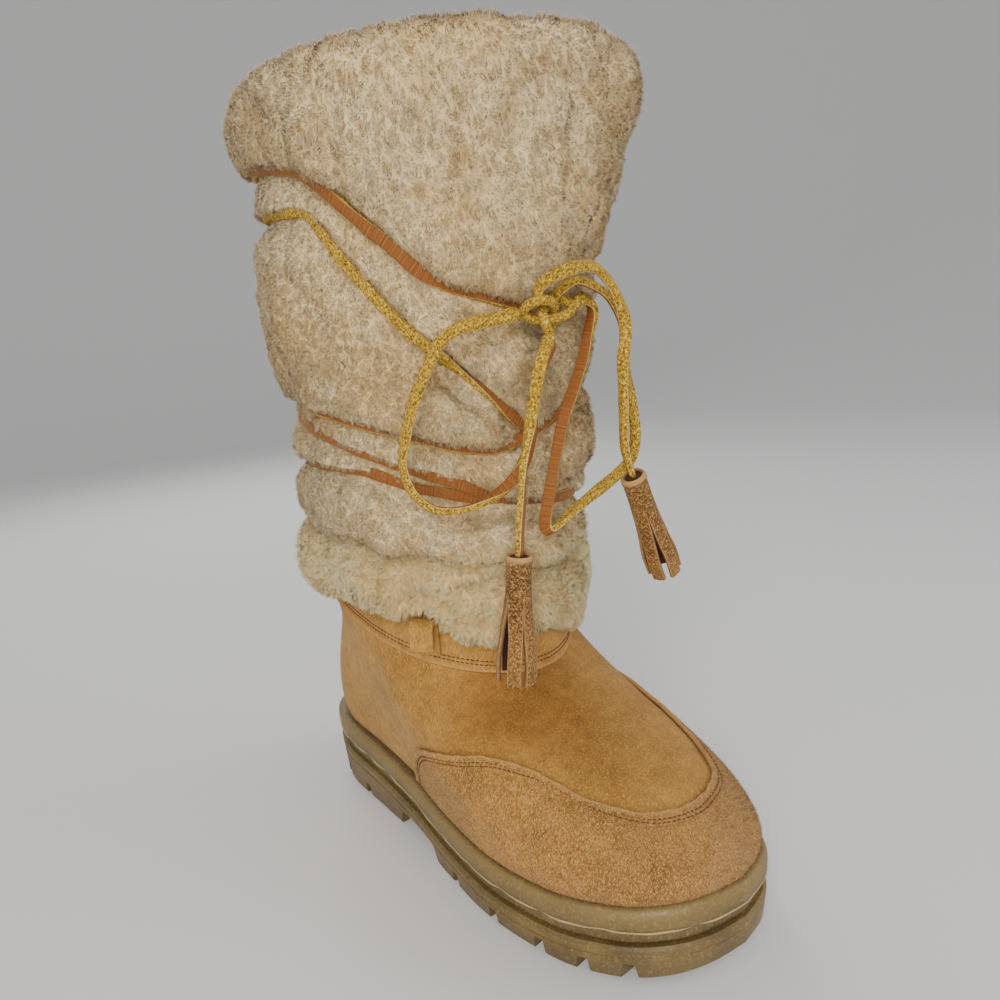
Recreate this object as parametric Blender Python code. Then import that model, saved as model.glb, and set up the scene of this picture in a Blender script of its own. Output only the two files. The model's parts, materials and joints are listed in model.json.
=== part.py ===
"""Winter boot for a right foot: suede foot on a lugged rubber sole, fur shaft tied round with a tasselled lace.

Metres, +Z up. The toe points along -Y and the inner (medial) side is +X. The boot stands on its sole at z = 0.
Each driving size is a named value. Tables hold shares of those sizes, one row for each section.
"""

from math import cos, pi, radians, sin

import bmesh
import bpy
import numpy as np
from mathutils import Euler, Vector
from mathutils.bvhtree import BVHTree

MM = 0.001

# Foot
FOOT_LENGTH = 278 * MM
BALL_WIDTH = 98.5 * MM
HEEL_BACK = FOOT_LENGTH / 2
UPPER_WALL = 2.2 * MM
TOE_BOX_RISE = 21 * MM
SIDE_RISE = 33.5 * MM
HEEL_RISE = 30 * MM
BULGE = 7 * MM
INSTEP_REACH = 49 * MM
SIDE_REACH = 28 * MM
INSTEP_SLOPE = 28

# Ankle seam and collar: ovals that lean forward
ANKLE_WIDTH = 100 * MM
ANKLE_LENGTH = 145 * MM
ANKLE_CENTRE = 37 * MM
ANKLE_HEIGHT = 126 * MM
ANKLE_LEAN = 0.256
COLLAR_WIDTH = 98 * MM
COLLAR_LENGTH = 137 * MM
COLLAR_CENTRE = 34 * MM
COLLAR_RISE = 30 * MM
COLLAR_LEAN = 0.22

# Overlays and gaps
GAP = 0.3 * MM
OVERLAY = 1.8 * MM
OVERLAY_GAP = 0.4 * MM
HEM_CLEAR = 1.2 * MM

# Sole
FORE_HEIGHT = 34 * MM
HEEL_HEIGHT = 44 * MM
TOE_SPRING = 7 * MM
WELT_HEIGHT = 11 * MM
WELT_STANDOUT = 6 * MM
MIDSOLE_HEIGHT = 7 * MM
MIDSOLE_STANDOUT = 4.2 * MM
RIB_DEPTH = 0.9 * MM
OUTSOLE_STANDOUT = 6.2 * MM
LUG_HEIGHT = 8.5 * MM
LUG_GAP = 4.5 * MM
LUG_GAP_FLARE = 2.5 * MM
CHANNEL_WIDTH = 13 * MM
CHANNEL_DEPTH = 5 * MM
ARCH_RISE = 11 * MM
INSOLE_HEIGHT = 4 * MM
INSOLE_CLEAR = 1.2 * MM

# Fur shaft
TOP_HEIGHT = 340 * MM
SHAFT_WIDTH = 124 * MM
SHAFT_DEPTH = 160 * MM
SHAFT_CENTRE = 37 * MM
FUR_THICK = 15 * MM
HEM_RISE = 20 * MM
HEM_WAVE = 3.5 * MM
HEM_NOTCH = 13 * MM
PUFF = 3.2 * MM
LOCK = 1.1 * MM
FURROW_LOW = 8 * MM
FURROW_HIGH = 4.5 * MM
FURROW_HALF = 7.5 * MM

# Lace
LACE_WIDTH = 5 * MM
LACE_THICK = 2.6 * MM
LACE_STEP = 11 * MM
LACE_LIFT = 1.1 * MM
KNOT_WIDTH = 27 * MM
KNOT_HEIGHT = 18 * MM
KNOT_DEPTH = 7 * MM
KNOT_CORD = 4.6 * MM
KNOT_CENTRE = Vector((-5, -57.6, 257)) * MM
KEEPER_WIDTH = 9 * MM
KEEPER_HEIGHT = 34 * MM
KEEPER_TURN = 180
KEEPER_MIDDLE = 311 * MM
TAB_WIDTH = 11 * MM
TAB_LENGTH = 17 * MM
TAB_DEPTH = 8 * MM
TAB_THICK = 2 * MM
TAB_CLEAR = 1.4 * MM
TAB_TURN = 54

# Tassels
TASSEL_LENGTH = 51 * MM
TASSEL_TOP = 11 * MM
TASSEL_STRIPS = 5
TASSEL_CLEAR = 0.7 * MM

# How finely round things are divided
AROUND = 44
SHAFT_AROUND = 44
SHAFT_ROWS = 24

# Sole outline: share of the foot's length from the toe, lateral and medial half width as shares of the ball width.
OUTLINE = (
    (0.00, -0.060, 0.060),
    (0.01, 0.080, 0.205),
    (0.04, 0.240, 0.335),
    (0.10, 0.380, 0.435),
    (0.20, 0.480, 0.490),
    (0.32, 0.510, 0.475),
    (0.45, 0.470, 0.390),
    (0.60, 0.395, 0.315),
    (0.75, 0.360, 0.325),
    (0.85, 0.340, 0.330),
    (0.94, 0.260, 0.260),
    (0.98, 0.155, 0.155),
    (1.00, 0.000, 0.000),
)

# Sole heights: share of length from the toe, share of the toe spring, share of the step from forefoot to heel height.
SOLE_LINE = (
    (0.00, 1.00, 0.0),
    (0.10, 0.45, 0.0),
    (0.26, 0.00, 0.0),
    (0.52, 0.00, 0.2),
    (0.74, 0.00, 0.7),
    (1.00, 0.00, 1.0),
)

# Ground line: share of length from the toe, share of the toe spring by which the tread lifts.
GROUND_LINE = ((0.0, 1.0), (0.05, 0.5), (0.10, 0.2), (0.17, 0.0), (0.96, 0.0), (1.0, 0.25))

# Rows of the upper: 0 at the sole, 1 at the ankle seam, 2 at the collar.
UPPER_ROWS = (0, 0.1, 0.22, 0.36, 0.5, 0.64, 0.78, 0.9, 1, 1.5, 2)

# Top edge of the toe cap: share of the way round from toe to heel (lateral is negative), row of the upper.
CAP_EDGE = (
    (-0.600, -0.05),
    (-0.560, 0.14),
    (-0.490, 0.33),
    (-0.400, 0.49),
    (-0.300, 0.60),
    (-0.225, 0.65),
    (-0.175, 0.63),
    (-0.110, 0.49),
    (-0.060, 0.42),
    (0.000, 0.40),
    (0.060, 0.41),
    (0.110, 0.47),
    (0.180, 0.58),
    (0.270, 0.62),
    (0.370, 0.54),
    (0.460, 0.36),
    (0.520, 0.15),
    (0.550, -0.05),
)

# Shaft sections: share of the height from hem to rim, width and depth as shares, forward lean as a share of the depth.
SHAFT_SECTIONS = (
    (0.00, 0.98, 0.98, 0.00),
    (0.12, 1.00, 0.97, 0.02),
    (0.35, 1.05, 0.90, 0.06),
    (0.60, 1.08, 0.90, 0.09),
    (0.80, 1.08, 0.95, 0.12),
    (1.00, 1.16, 1.05, 0.16),
)

# The two halves of the lace: turns from the front in degrees (lateral first), height in millimetres.
WRAP_A = (
    (0, 257), (12, 261), (43, 272), (57, 286), (84, 311), (120, 318), (180, 318), (215, 303),
    (270, 262), (330, 228), (360, 214), (380, 209), (418, 219), (448, 227), (540, 241),
    (600, 222), (660, 203), (700, 190), (720, 186), (769, 195), (798, 204), (900, 206),
    (960, 186), (1020, 170), (1068, 159), (1100, 156), (1120, 153), (1132, 149),
)
WRAP_B = (
    (0, 255), (30, 268), (60, 285), (95, 300), (140, 304), (180, 303), (225, 302), (275, 299),
    (290, 281), (307, 258), (335, 232), (360, 215), (390, 222), (450, 238), (540, 231),
    (610, 222), (640, 214), (680, 198), (720, 184), (750, 182), (810, 178), (900, 184),
    (987, 177), (1007, 173), (1039, 167), (1057, 164),
)

# Free parts of the lace, in millimetres: they hang in front of the fur.
LOOP_LEFT = (
    (-18.6, -57.5, 258), (-26, -56, 257), (-35, -53, 256), (-41, -51, 255), (-47, -47, 251), (-51, -42, 242),
    (-55, -37, 231), (-58, -34, 220), (-59, -31, 209), (-57, -32, 199), (-52, -36, 192), (-45, -40, 190),
    (-38, -45, 191), (-31, -49, 194), (-25, -52, 198), (-19, -54, 205), (-15, -55, 215), (-11, -55, 232),
    (-2.5, -57, 247),
)
LOOP_RIGHT = (
    (8, -58, 259), (15, -56, 261), (21, -55, 257), (18, -55, 248), (13, -56, 238), (5, -58, 228),
    (-2, -60, 220), (-9, -61, 205), (-15, -62, 190), (-18, -63, 182), (-17, -64, 179), (-13, -64, 180),
    (-4, -64, 184), (12, -63, 189), (27, -62, 194), (36, -61, 199), (39, -60, 208), (37, -60, 220),
    (34, -60, 232), (33, -60, 244), (31, -60, 253), (23, -60, 262), (10, -59, 267), (3, -58, 265),
)
END_LEFT = (
    (-8, -59.8, 247.5), (-16, -64, 241), (-21, -65, 230), (-24, -64, 218), (-27, -63, 206), (-28, -62, 195),
    (-29, -61, 184), (-30, -61, 176), (-31, -61, 171),
)
END_RIGHT = (
    (-11, -60.5, 266), (-6, -67, 270), (6, -69, 271), (15, -69, 266), (21, -69, 258), (24, -69, 249),
    (22, -69, 236), (22, -69, 222), (22, -69, 207), (24, -69, 199), (27, -69, 192),
)
TASSEL_LEFT_FOOT = Vector((-35, -58, 120)) * MM
TASSEL_RIGHT_FOOT = Vector((52, -67, 140)) * MM

# A tassel: share of its length from the top, share of its top width, depth of the slits as a share of the radius.
TASSEL_ROWS = (
    (0.00, 0.88, 0.00),
    (0.03, 1.00, 0.00),
    (0.32, 0.98, 0.00),
    (0.38, 1.02, 0.35),
    (0.60, 1.20, 0.50),
    (0.85, 1.50, 0.55),
    (1.00, 1.64, 0.60),
)

SUEDE = ("suede", (0.42, 0.21, 0.055), 0.9)
CAP_SUEDE = ("cap_suede", (0.40, 0.22, 0.085), 0.92)
FUR = ("shearling", (0.66, 0.53, 0.33), 0.95)
THONG = ("lace_leather", (0.52, 0.31, 0.05), 0.8)
TASSEL_SUEDE = ("tassel_suede", (0.36, 0.19, 0.09), 0.9)
RUBBER = ("sole_rubber", (0.27, 0.21, 0.11), 0.7)
FOOTBED = ("footbed", (0.55, 0.45, 0.30), 0.95)


def clear_scene():
    for obj in list(bpy.data.objects):
        bpy.data.objects.remove(obj)


def material(finish):
    name, colour, roughness = finish
    found = bpy.data.materials.get(name) or bpy.data.materials.new(name)
    found.use_nodes = True
    shader = found.node_tree.nodes["Principled BSDF"]
    shader.inputs["Base Color"].default_value = (*colour, 1)
    shader.inputs["Roughness"].default_value = roughness
    return found


def mesh_object(name, points, faces, finish, angle=40):
    """A named object from points and faces, with its faces turned outwards and its soft edges smooth."""
    mesh = bpy.data.meshes.new(name)
    mesh.from_pydata([tuple(p) for p in points], [], faces)
    work = bmesh.new()
    work.from_mesh(mesh)
    bmesh.ops.remove_doubles(work, verts=work.verts, dist=1e-6)
    bmesh.ops.recalc_face_normals(work, faces=work.faces)
    work.to_mesh(mesh)
    work.free()
    mesh.shade_smooth()
    mesh.set_sharp_from_angle(angle=radians(angle))
    mesh.materials.append(material(finish))
    obj = bpy.data.objects.new(name, mesh)
    bpy.context.scene.collection.objects.link(obj)
    return obj


def helper(obj):
    obj.hide_render = True
    obj.display_type = "WIRE"
    return obj


def boolean(obj, other, operation):
    cut = obj.modifiers.new(other.name, "BOOLEAN")
    cut.operation = operation
    cut.object = other
    cut.solver = "EXACT"


def solidify(obj, thickness, offset):
    wall = obj.modifiers.new("wall", "SOLIDIFY")
    wall.thickness = thickness
    wall.offset = offset
    wall.use_even_offset = True


def through(table, column, at):
    """A smooth curve through one column of a table, read at the given places, with no overshoot between rows."""
    rows = np.array([row for row in table], float)
    x, y = rows[:, 0], rows[:, column]
    step = np.diff(x)
    slope = np.diff(y) / step
    tangent = np.zeros(len(x))
    rising = slope[:-1] * slope[1:] > 0
    first, second = 2 * step[1:] + step[:-1], step[1:] + 2 * step[:-1]
    safe = np.where(rising, slope[:-1] * slope[1:], 1)
    mean = (first + second) * safe / (first * slope[1:] + second * slope[:-1] + (~rising))
    tangent[1:-1] = np.where(rising, mean, 0)
    tangent[0], tangent[-1] = slope[0], slope[-1]
    at = np.clip(np.asarray(at, float), x[0], x[-1])
    i = np.clip(np.searchsorted(x, at) - 1, 0, len(x) - 2)
    t = (at - x[i]) / step[i]
    return (
        (1 + 2 * t) * (1 - t) ** 2 * y[i]
        + t * (1 - t) ** 2 * step[i] * tangent[i]
        + t * t * (3 - 2 * t) * y[i + 1]
        + t * t * (t - 1) * step[i] * tangent[i + 1]
    )


def side_line(side):
    """One side of the sole's outline from toe to heel, as points at even steps of its own length."""
    share = 0.5 - 0.5 * np.cos(np.linspace(0, pi, 600))
    half = through(OUTLINE, 1 if side < 0 else 2, share) * BALL_WIDTH
    line = np.column_stack((side * half, HEEL_BACK - FOOT_LENGTH + share * FOOT_LENGTH))
    run = np.concatenate(([0], np.cumsum(np.linalg.norm(np.diff(line, axis=0), axis=1))))
    return run / run[-1], line


SIDE_LINES = {side: side_line(side) for side in (-1, 1)}


def outline(around):
    """Point of the sole's outline: around is 0 at the toe and 1 at the heel, lateral negative, medial positive."""
    share, line = SIDE_LINES[-1 if around < 0 else 1]
    return np.array([np.interp(abs(around), share, line[:, axis]) for axis in (0, 1)])


def outward(around):
    """Unit normal of the outline, pointing away from the foot."""
    step = 0.012
    a, b = around - step, around + step
    a, b = (a + 2 if a < -1 else a), (b - 2 if b > 1 else b)
    along = outline(b) - outline(a)
    return np.array([along[1], -along[0]]) / np.linalg.norm(along)


def length_share(y):
    return (y - (HEEL_BACK - FOOT_LENGTH)) / FOOT_LENGTH


def sole_top(y):
    """Height of the line where the upper meets the sole."""
    share = length_share(y)
    step = HEEL_HEIGHT - FORE_HEIGHT
    return FORE_HEIGHT + TOE_SPRING * through(SOLE_LINE, 1, share) + step * through(SOLE_LINE, 2, share)


def ground(y):
    return TOE_SPRING * through(GROUND_LINE, 1, length_share(y))


def oval(around, width, length, centre, height, lean):
    """Point of a leaning oval, at the same turn as a point of the outline."""
    turn = pi * around
    y = centre - length / 2 * cos(turn)
    return np.array((width / 2 * sin(turn), y, height + lean * (y - centre)))


def ankle(around):
    return oval(around, ANKLE_WIDTH, ANKLE_LENGTH, ANKLE_CENTRE, ANKLE_HEIGHT, ANKLE_LEAN)


def collar(around):
    return oval(around, COLLAR_WIDTH, COLLAR_LENGTH, COLLAR_CENTRE, ANKLE_HEIGHT + COLLAR_RISE, COLLAR_LEAN)


def upper_point(around, row):
    """Point of the upper's outer face: a curve from the sole (row 0) to the ankle seam (1), then up to the collar (2)."""
    if row > 1:
        return ankle(around) * (2 - row) + collar(around) * (row - 1)
    base, normal = outline(around), outward(around)
    front, back = max(cos(pi * around), 0), max(-cos(pi * around), 0)
    rise = SIDE_RISE + (TOE_BOX_RISE - SIDE_RISE) * front**1.5 + (HEEL_RISE - SIDE_RISE) * back
    reach = SIDE_REACH + (INSTEP_REACH - SIDE_REACH) * front**1.5
    slope = radians(90 - (90 - INSTEP_SLOPE) * front)
    start = np.array((*base, sole_top(base[1]) + GAP))
    end = ankle(around)
    first = start + np.array((*(normal * BULGE), rise))
    level = np.array((sin(pi * around), -cos(pi * around))) * cos(slope)
    second = end + reach * np.array((*level, -sin(slope)))
    t = row
    return (1 - t) ** 3 * start + 3 * (1 - t) ** 2 * t * first + 3 * (1 - t) * t**2 * second + t**3 * end


def turns(count):
    """Even steps round the foot, from the toe by the medial side and the heel to the lateral side."""
    steps = np.arange(count) * 2 / count
    return np.where(steps > 1, steps - 2, steps)


def wall_grid(rows, count=AROUND):
    return np.array([[upper_point(around, row) for around in turns(count)] for row in rows])


def grid_normals(grid):
    """Outward normals of a grid of rings that close on themselves."""
    along = np.roll(grid, -1, axis=1) - np.roll(grid, 1, axis=1)
    up = np.gradient(grid, axis=0)
    normal = np.cross(along, up)
    normal /= np.linalg.norm(normal, axis=2, keepdims=True)
    away = grid - grid.mean(axis=(0, 1))
    return normal if (normal * away).sum() > 0 else -normal


def ring_faces(rows, count, closed=False):
    """Triangles between successive rings, all split the same way; closed also joins the last ring to the first."""
    faces = []
    for j in range(rows if closed else rows - 1):
        low, high = j * count, (j + 1) % rows * count
        for k in range(count):
            n = (k + 1) % count
            faces.append((low + k, low + n, high + n))
            faces.append((low + k, high + n, high + k))
    return faces


def ladder_cap(first, count):
    """Strips across a closed ring, from each lateral point to the medial point beside it."""
    half = count // 2
    faces = [(first, first + 1, first + count - 1)]
    for k in range(1, half - 1):
        faces.append((first + k, first + k + 1, first + count - k - 1, first + count - k))
    faces.append((first + half - 1, first + half, first + half + 1))
    return faces


def plate(name, rings, finish):
    """A solid from rings of equal count, from its lowest ring to its highest, closed by a cap at both ends."""
    count = len(rings[0])
    points = [point for ring in rings for point in ring]
    faces = ring_faces(len(rings), count)
    faces += ladder_cap(0, count) + ladder_cap((len(rings) - 1) * count, count)
    return mesh_object(name, points, faces, finish)


def sole_ring(standout, drop, count=AROUND, wave=0.0):
    """A ring round the sole: so far outside the outline, and so far below the line where the upper starts."""
    ring = []
    for k, around in enumerate(turns(count)):
        base = outline(around)
        x, y = base + outward(around) * (standout + wave * (-1) ** k / 2)
        ring.append((x, y, sole_top(base[1]) - drop))
    return ring


def build_upper():
    grid = wall_grid(UPPER_ROWS)
    obj = mesh_object("upper", grid.reshape(-1, 3), ring_faces(len(UPPER_ROWS), AROUND), SUEDE)
    solidify(obj, UPPER_WALL, -1)
    return obj


def shell_over(name, rows, inner, outer, finish):
    """A closed shell that follows the upper between two distances outside its face."""
    grid = wall_grid(rows)
    normal = grid_normals(grid)
    if rows[0] == 0:
        normal[0, :, 2] = 0
        normal[0] /= np.linalg.norm(normal[0], axis=1, keepdims=True)
    near, far = grid + normal * inner, grid + normal * outer
    points = np.concatenate((near, far[::-1])).reshape(-1, 3)
    return mesh_object(name, points, ring_faces(2 * len(rows), AROUND, closed=True), finish)


def build_ankle_band():
    rows = [row for row in UPPER_ROWS if row >= 1]
    return shell_over("ankle_band", rows, OVERLAY_GAP, OVERLAY_GAP + OVERLAY, SUEDE)


def build_toe_cap():
    """The wing-shaped cap: a shell over the upper, kept only below its own edge line."""
    rows = [row for row in UPPER_ROWS if row < 0.8]
    cap = shell_over("toe_cap", rows, OVERLAY_GAP, OVERLAY_GAP + OVERLAY, CAP_SUEDE)
    starts, ends = CAP_EDGE[0][0], CAP_EDGE[-1][0]
    steps = np.linspace(starts, ends, 60)
    edge = through(CAP_EDGE, 1, steps)
    reach = 6 * MM
    points = []
    for around, top in zip(steps, edge):
        base = outline(around)
        away = np.array((*outward(around), 0.0))
        low = np.array((*base, sole_top(base[1]) - reach))
        high = upper_point(around, max(top, 0))
        drop = reach if top < 0 else 0
        face = high - upper_point(around, max(top, 0) + 0.02)
        normal = np.cross(face, np.array((-away[1], away[0], 0.0)))
        normal = normal / np.linalg.norm(normal)
        normal = normal if normal @ np.array((*away[:2], 0.6)) > 0 else -normal
        high = high - np.array((0, 0, drop))
        points += [low - away * reach, low + away * 4 * reach, high + normal * 2 * reach, high - normal * reach]
    faces = []
    for k in range(len(steps) - 1):
        for c in range(4):
            n = (c + 1) % 4
            faces.append((4 * k + c, 4 * k + n, 4 * k + 4 + n, 4 * k + 4 + c))
    last = 4 * (len(steps) - 1)
    faces += [(0, 1, 2, 3), (last, last + 1, last + 2, last + 3)]
    keep = helper(mesh_object("cap_shape", points, faces, SUEDE))
    boolean(cap, keep, "INTERSECT")
    return cap


def build_welt():
    h, s = WELT_HEIGHT, WELT_STANDOUT
    profile = ((0.60, 1.0), (0.88, 0.92), (1.0, 0.6), (0.97, 0.3), (0.8, 0.1), (0.5, 0.0))
    rings = [sole_ring(s * out, h * down) for out, down in profile]
    rings.append(sole_ring(-INSOLE_CLEAR - UPPER_WALL, 0))
    return plate("welt", rings, RUBBER)


def build_midsole():
    top = WELT_HEIGHT + GAP
    bottom = top + MIDSOLE_HEIGHT
    count = 3 * AROUND
    rings = [
        sole_ring(MIDSOLE_STANDOUT - RIB_DEPTH, bottom, count),
        sole_ring(MIDSOLE_STANDOUT, bottom - MIDSOLE_HEIGHT * 0.12, count, RIB_DEPTH),
        sole_ring(MIDSOLE_STANDOUT, top + MIDSOLE_HEIGHT * 0.12, count, RIB_DEPTH),
        sole_ring(MIDSOLE_STANDOUT - RIB_DEPTH, top, count),
    ]
    return plate("midsole", rings, RUBBER)


def tread_cutter(name, prisms):
    """One helper object from separate prisms, each a low outline and a high outline of four corners."""
    points, faces = [], []
    for low, high in prisms:
        first = len(points)
        points += [*low, *high]
        faces += [tuple(first + i for i in (0, 1, 2, 3)), tuple(first + i for i in (4, 5, 6, 7))]
        faces += [tuple(first + i for i in (c, (c + 1) % 4, (c + 1) % 4 + 4, c + 4)) for c in range(4)]
    return helper(mesh_object(name, points, faces, RUBBER))


def cross_bar(share, turn, depth, width, flare):
    """A groove across the whole tread, wider at the ground, turned about its middle by some degrees."""
    y = HEEL_BACK - FOOT_LENGTH + share * FOOT_LENGTH
    half, low = BALL_WIDTH, -10 * MM
    along = Vector((cos(radians(turn)), sin(radians(turn)), 0))
    side = Vector((-along.y, along.x, 0))

    def corners(z, wide):
        middle = Vector((0, y, z))
        return [middle + along * u * half + side * v * wide / 2 for u, v in ((-1, -1), (1, -1), (1, 1), (-1, 1))]

    spread = flare * (depth - low) / depth
    return corners(low, width + spread), corners(ground(y) + depth, width)


def build_outsole():
    top = WELT_HEIGHT + MIDSOLE_HEIGHT + 2 * GAP
    s = OUTSOLE_STANDOUT
    rings = [sole_ring(s * 0.8, top), sole_ring(s, top + 1.2 * MM), sole_ring(s, top + 5 * MM)]
    rings.append(sole_ring(s * 0.8, top + 6 * MM))
    low = []
    for rise, standout in ((2 * MM, s * 0.9), (0, s * 0.55)):
        ring = []
        for around in turns(AROUND):
            base = outline(around)
            x, y = base + outward(around) * standout
            ring.append((x, y, float(ground(y)) + rise))
        low.append(ring)
    body = plate("outsole", [low[1], low[0], *rings[::-1]], RUBBER)
    grooves = [(0.07, 0), (0.155, 7), (0.24, 9), (0.33, 5), (0.42, -3), (0.81, 4), (0.90, -3)]
    prisms = [cross_bar(share, turn, LUG_HEIGHT, LUG_GAP, LUG_GAP_FLARE) for share, turn in grooves]
    prisms.append(cross_bar(0.58, 0, ARCH_RISE, 0.13 * FOOT_LENGTH, 0.035 * FOOT_LENGTH))
    boolean(body, tread_cutter("tread_grooves", prisms), "DIFFERENCE")
    channels = []
    for start, end in ((0.11, 0.47), (0.70, 0.93)):
        low_y, high_y = (HEEL_BACK - FOOT_LENGTH + share * FOOT_LENGTH for share in (start, end))
        w = CHANNEL_WIDTH / 2
        corners = ((-w, low_y), (w, low_y), (w, high_y), (-w, high_y))
        channels.append([[(x, y, z) for x, y in corners] for z in (-10 * MM, CHANNEL_DEPTH)])
    boolean(body, tread_cutter("tread_channels", channels), "DIFFERENCE")
    return body


def build_insole():
    inset = -(UPPER_WALL + INSOLE_CLEAR)
    rings = [sole_ring(inset, -GAP), sole_ring(inset, -GAP - INSOLE_HEIGHT)]
    return plate("insole", rings, FOOTBED)


def shaft_section(share):
    """Half width, half depth and centre of the fur's outside, at a share of the height from hem to rim."""
    half_width = SHAFT_WIDTH / 2 * through(SHAFT_SECTIONS, 1, share)
    half_depth = SHAFT_DEPTH / 2 * through(SHAFT_SECTIONS, 2, share)
    centre = SHAFT_CENTRE - SHAFT_DEPTH * through(SHAFT_SECTIONS, 3, share)
    return half_width, half_depth, centre


def hem_height(turn):
    """Height of the hanging hem: above the ankle seam, in uneven puffs, with a notch for the lace tab."""
    wave = HEM_WAVE * (sin(5 * turn + 0.6) + 0.6 * sin(9 * turn + 2.0))
    notch = HEM_NOTCH * np.exp(-(((turn - radians(TAB_TURN)) / 0.2) ** 2))
    return ankle(-turn / pi if turn <= pi else 2 - turn / pi)[2] + HEM_RISE + wave + notch


def wrap_track(table):
    """Samples of one half of the lace: turn in radians and height in metres."""
    turn = np.arange(table[0][0], table[-1][0], 4.0)
    return np.radians(turn), through(table, 1, turn) * MM


TRACKS = {"a": wrap_track(WRAP_A), "b": wrap_track(WRAP_B)}


def furrow(turn, height):
    """Share, 0 to 1, by which the lace pulls the fur in at a place of the shaft."""
    nearest = np.inf
    for name, (turns_run, heights) in TRACKS.items():
        run = turns_run if name == "a" else -turns_run
        aside = (turn - run + pi) % (2 * pi) - pi
        away = (aside * SHAFT_WIDTH / 2) ** 2 + (heights - height) ** 2
        nearest = min(nearest, away.min())
    return np.exp(-nearest / FURROW_HALF**2)


def shaft_place(turn, share, height, inward=0.0):
    """Point of the shaft at a turn from the front (lateral first), drawn in from the fur's outside."""
    half_width, half_depth, centre = shaft_section(share)
    direction = Vector((-sin(turn) * half_width, -cos(turn) * half_depth, 0))
    out = direction.normalized() * (direction.length - inward)
    return (out.x, centre + out.y, height)


def fur_relief(turn, share, height):
    """How far the fur stands out of its plain section: puffs between furrows, locks and the furrows themselves."""
    deep = FURROW_LOW + (FURROW_HIGH - FURROW_LOW) * min(max(share * 1.4 - 0.2, 0), 1)
    pull = furrow(turn, height)
    puff = PUFF * (sin(4 * turn + 11 * share) * 0.6 + sin(7 * turn - 9 * share + 1.7) * 0.4)
    lock = LOCK * (sin(17 * turn + 40 * share) + sin(13 * turn - 55 * share))
    return (puff + lock) * (1 - pull) - deep * pull


def build_shaft():
    columns = []
    for k in range(SHAFT_AROUND):
        turn = 2 * pi * k / SHAFT_AROUND
        around = -turn / pi if turn <= pi else 2 - turn / pi
        hem = hem_height(turn)
        column = []
        for j in range(SHAFT_ROWS + 1):
            share = j / SHAFT_ROWS
            height = hem + (TOP_HEIGHT - FUR_THICK / 2 - hem) * share
            column.append(shaft_place(turn, share, height, -fur_relief(turn, share, height)))
        rim = TOP_HEIGHT - FUR_THICK / 2
        for angle in (45, 90, 135):
            inward = FUR_THICK / 2 * (1 - cos(radians(angle)))
            column.append(shaft_place(turn, 1, rim + FUR_THICK / 2 * sin(radians(angle)), inward))
        seat = collar(around)
        for share in (1, 0.75, 0.5, 0.25):
            height = seat[2] + (rim - seat[2]) * share
            inside = Vector(shaft_place(turn, 1, height, FUR_THICK))
            low = Vector((seat[0], seat[1], height))
            middle = Vector((0, COLLAR_CENTRE, height))
            low = middle + (low - middle) * (1 - UPPER_WALL / (COLLAR_WIDTH / 2))
            column.append(tuple(low.lerp(inside, share)))
        middle = np.array((0, COLLAR_CENTRE, 0))
        away = np.array((seat[0], seat[1], 0)) - middle
        away = away / np.linalg.norm(away)
        lift = np.array((0, 0, HEM_CLEAR))
        over = OVERLAY + OVERLAY_GAP + HEM_CLEAR
        column.append(tuple(seat - away * UPPER_WALL + lift))
        column.append(tuple(seat + away * over + lift))
        rise = (hem - ankle(around)[2]) / (seat[2] - ankle(around)[2])
        low = ankle(around) * (1 - rise) + seat * rise
        inner_hem = low + away * (over + 0.6 * MM)
        column.append((inner_hem[0], inner_hem[1], hem - 0.5 * MM))
        columns.append(column)
    rows = len(columns[0])
    points = [columns[k][j] for j in range(rows) for k in range(SHAFT_AROUND)]
    return mesh_object("shaft", points, ring_faces(rows, SHAFT_AROUND, closed=True), FUR, 180)


def outer_radius(tree, turn, height, wide=1.0):
    """Distance from the shaft's middle line to the outermost fur in one direction, and that direction."""
    share = min(max((height - ANKLE_HEIGHT) / (TOP_HEIGHT - ANKLE_HEIGHT), 0), 1)
    half_width, half_depth, centre = (float(v) for v in shaft_section(share))
    direction = Vector((-sin(turn) * half_width, -cos(turn) * half_depth, 0)).normalized()
    far = 200 * MM
    reach = 0
    for aside in (-7, -3.5, 0, 3.5, 7):
        looking = direction.copy()
        looking.rotate(Euler((0, 0, radians(aside * wide))))
        for lift in (-3.5 * MM, -2 * MM, 0, 2 * MM, 3.5 * MM):
            lift *= wide
            middle = Vector((0, centre, height + lift))
            hit = tree.ray_cast(middle + looking * far, -looking)
            if hit[0] is not None:
                reach = max(reach, (far - hit[3]) * cos(radians(aside * wide)))
    return reach, direction, Vector((0, centre, height))


def strap_mesh(name, centres, normals, width, thick, finish):
    """A flat strap along given points: four corners at each, its broad side facing each normal."""
    points = []
    for i, centre in enumerate(centres):
        before, after = centres[max(i - 1, 0)], centres[min(i + 1, len(centres) - 1)]
        along = (after - before).normalized()
        across = along.cross(normals[i]).normalized()
        out = across.cross(along).normalized()
        for u, v in ((-1, -1), (1, -1), (1, 1), (-1, 1)):
            points.append(centre + across * u * width / 2 + out * v * thick / 2)
    faces = ring_faces(len(centres), 4)
    last = 4 * (len(centres) - 1)
    faces += [(0, 1, 2, 3), (last, last + 1, last + 2, last + 3)]
    return mesh_object(name, points, faces, finish)


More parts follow.
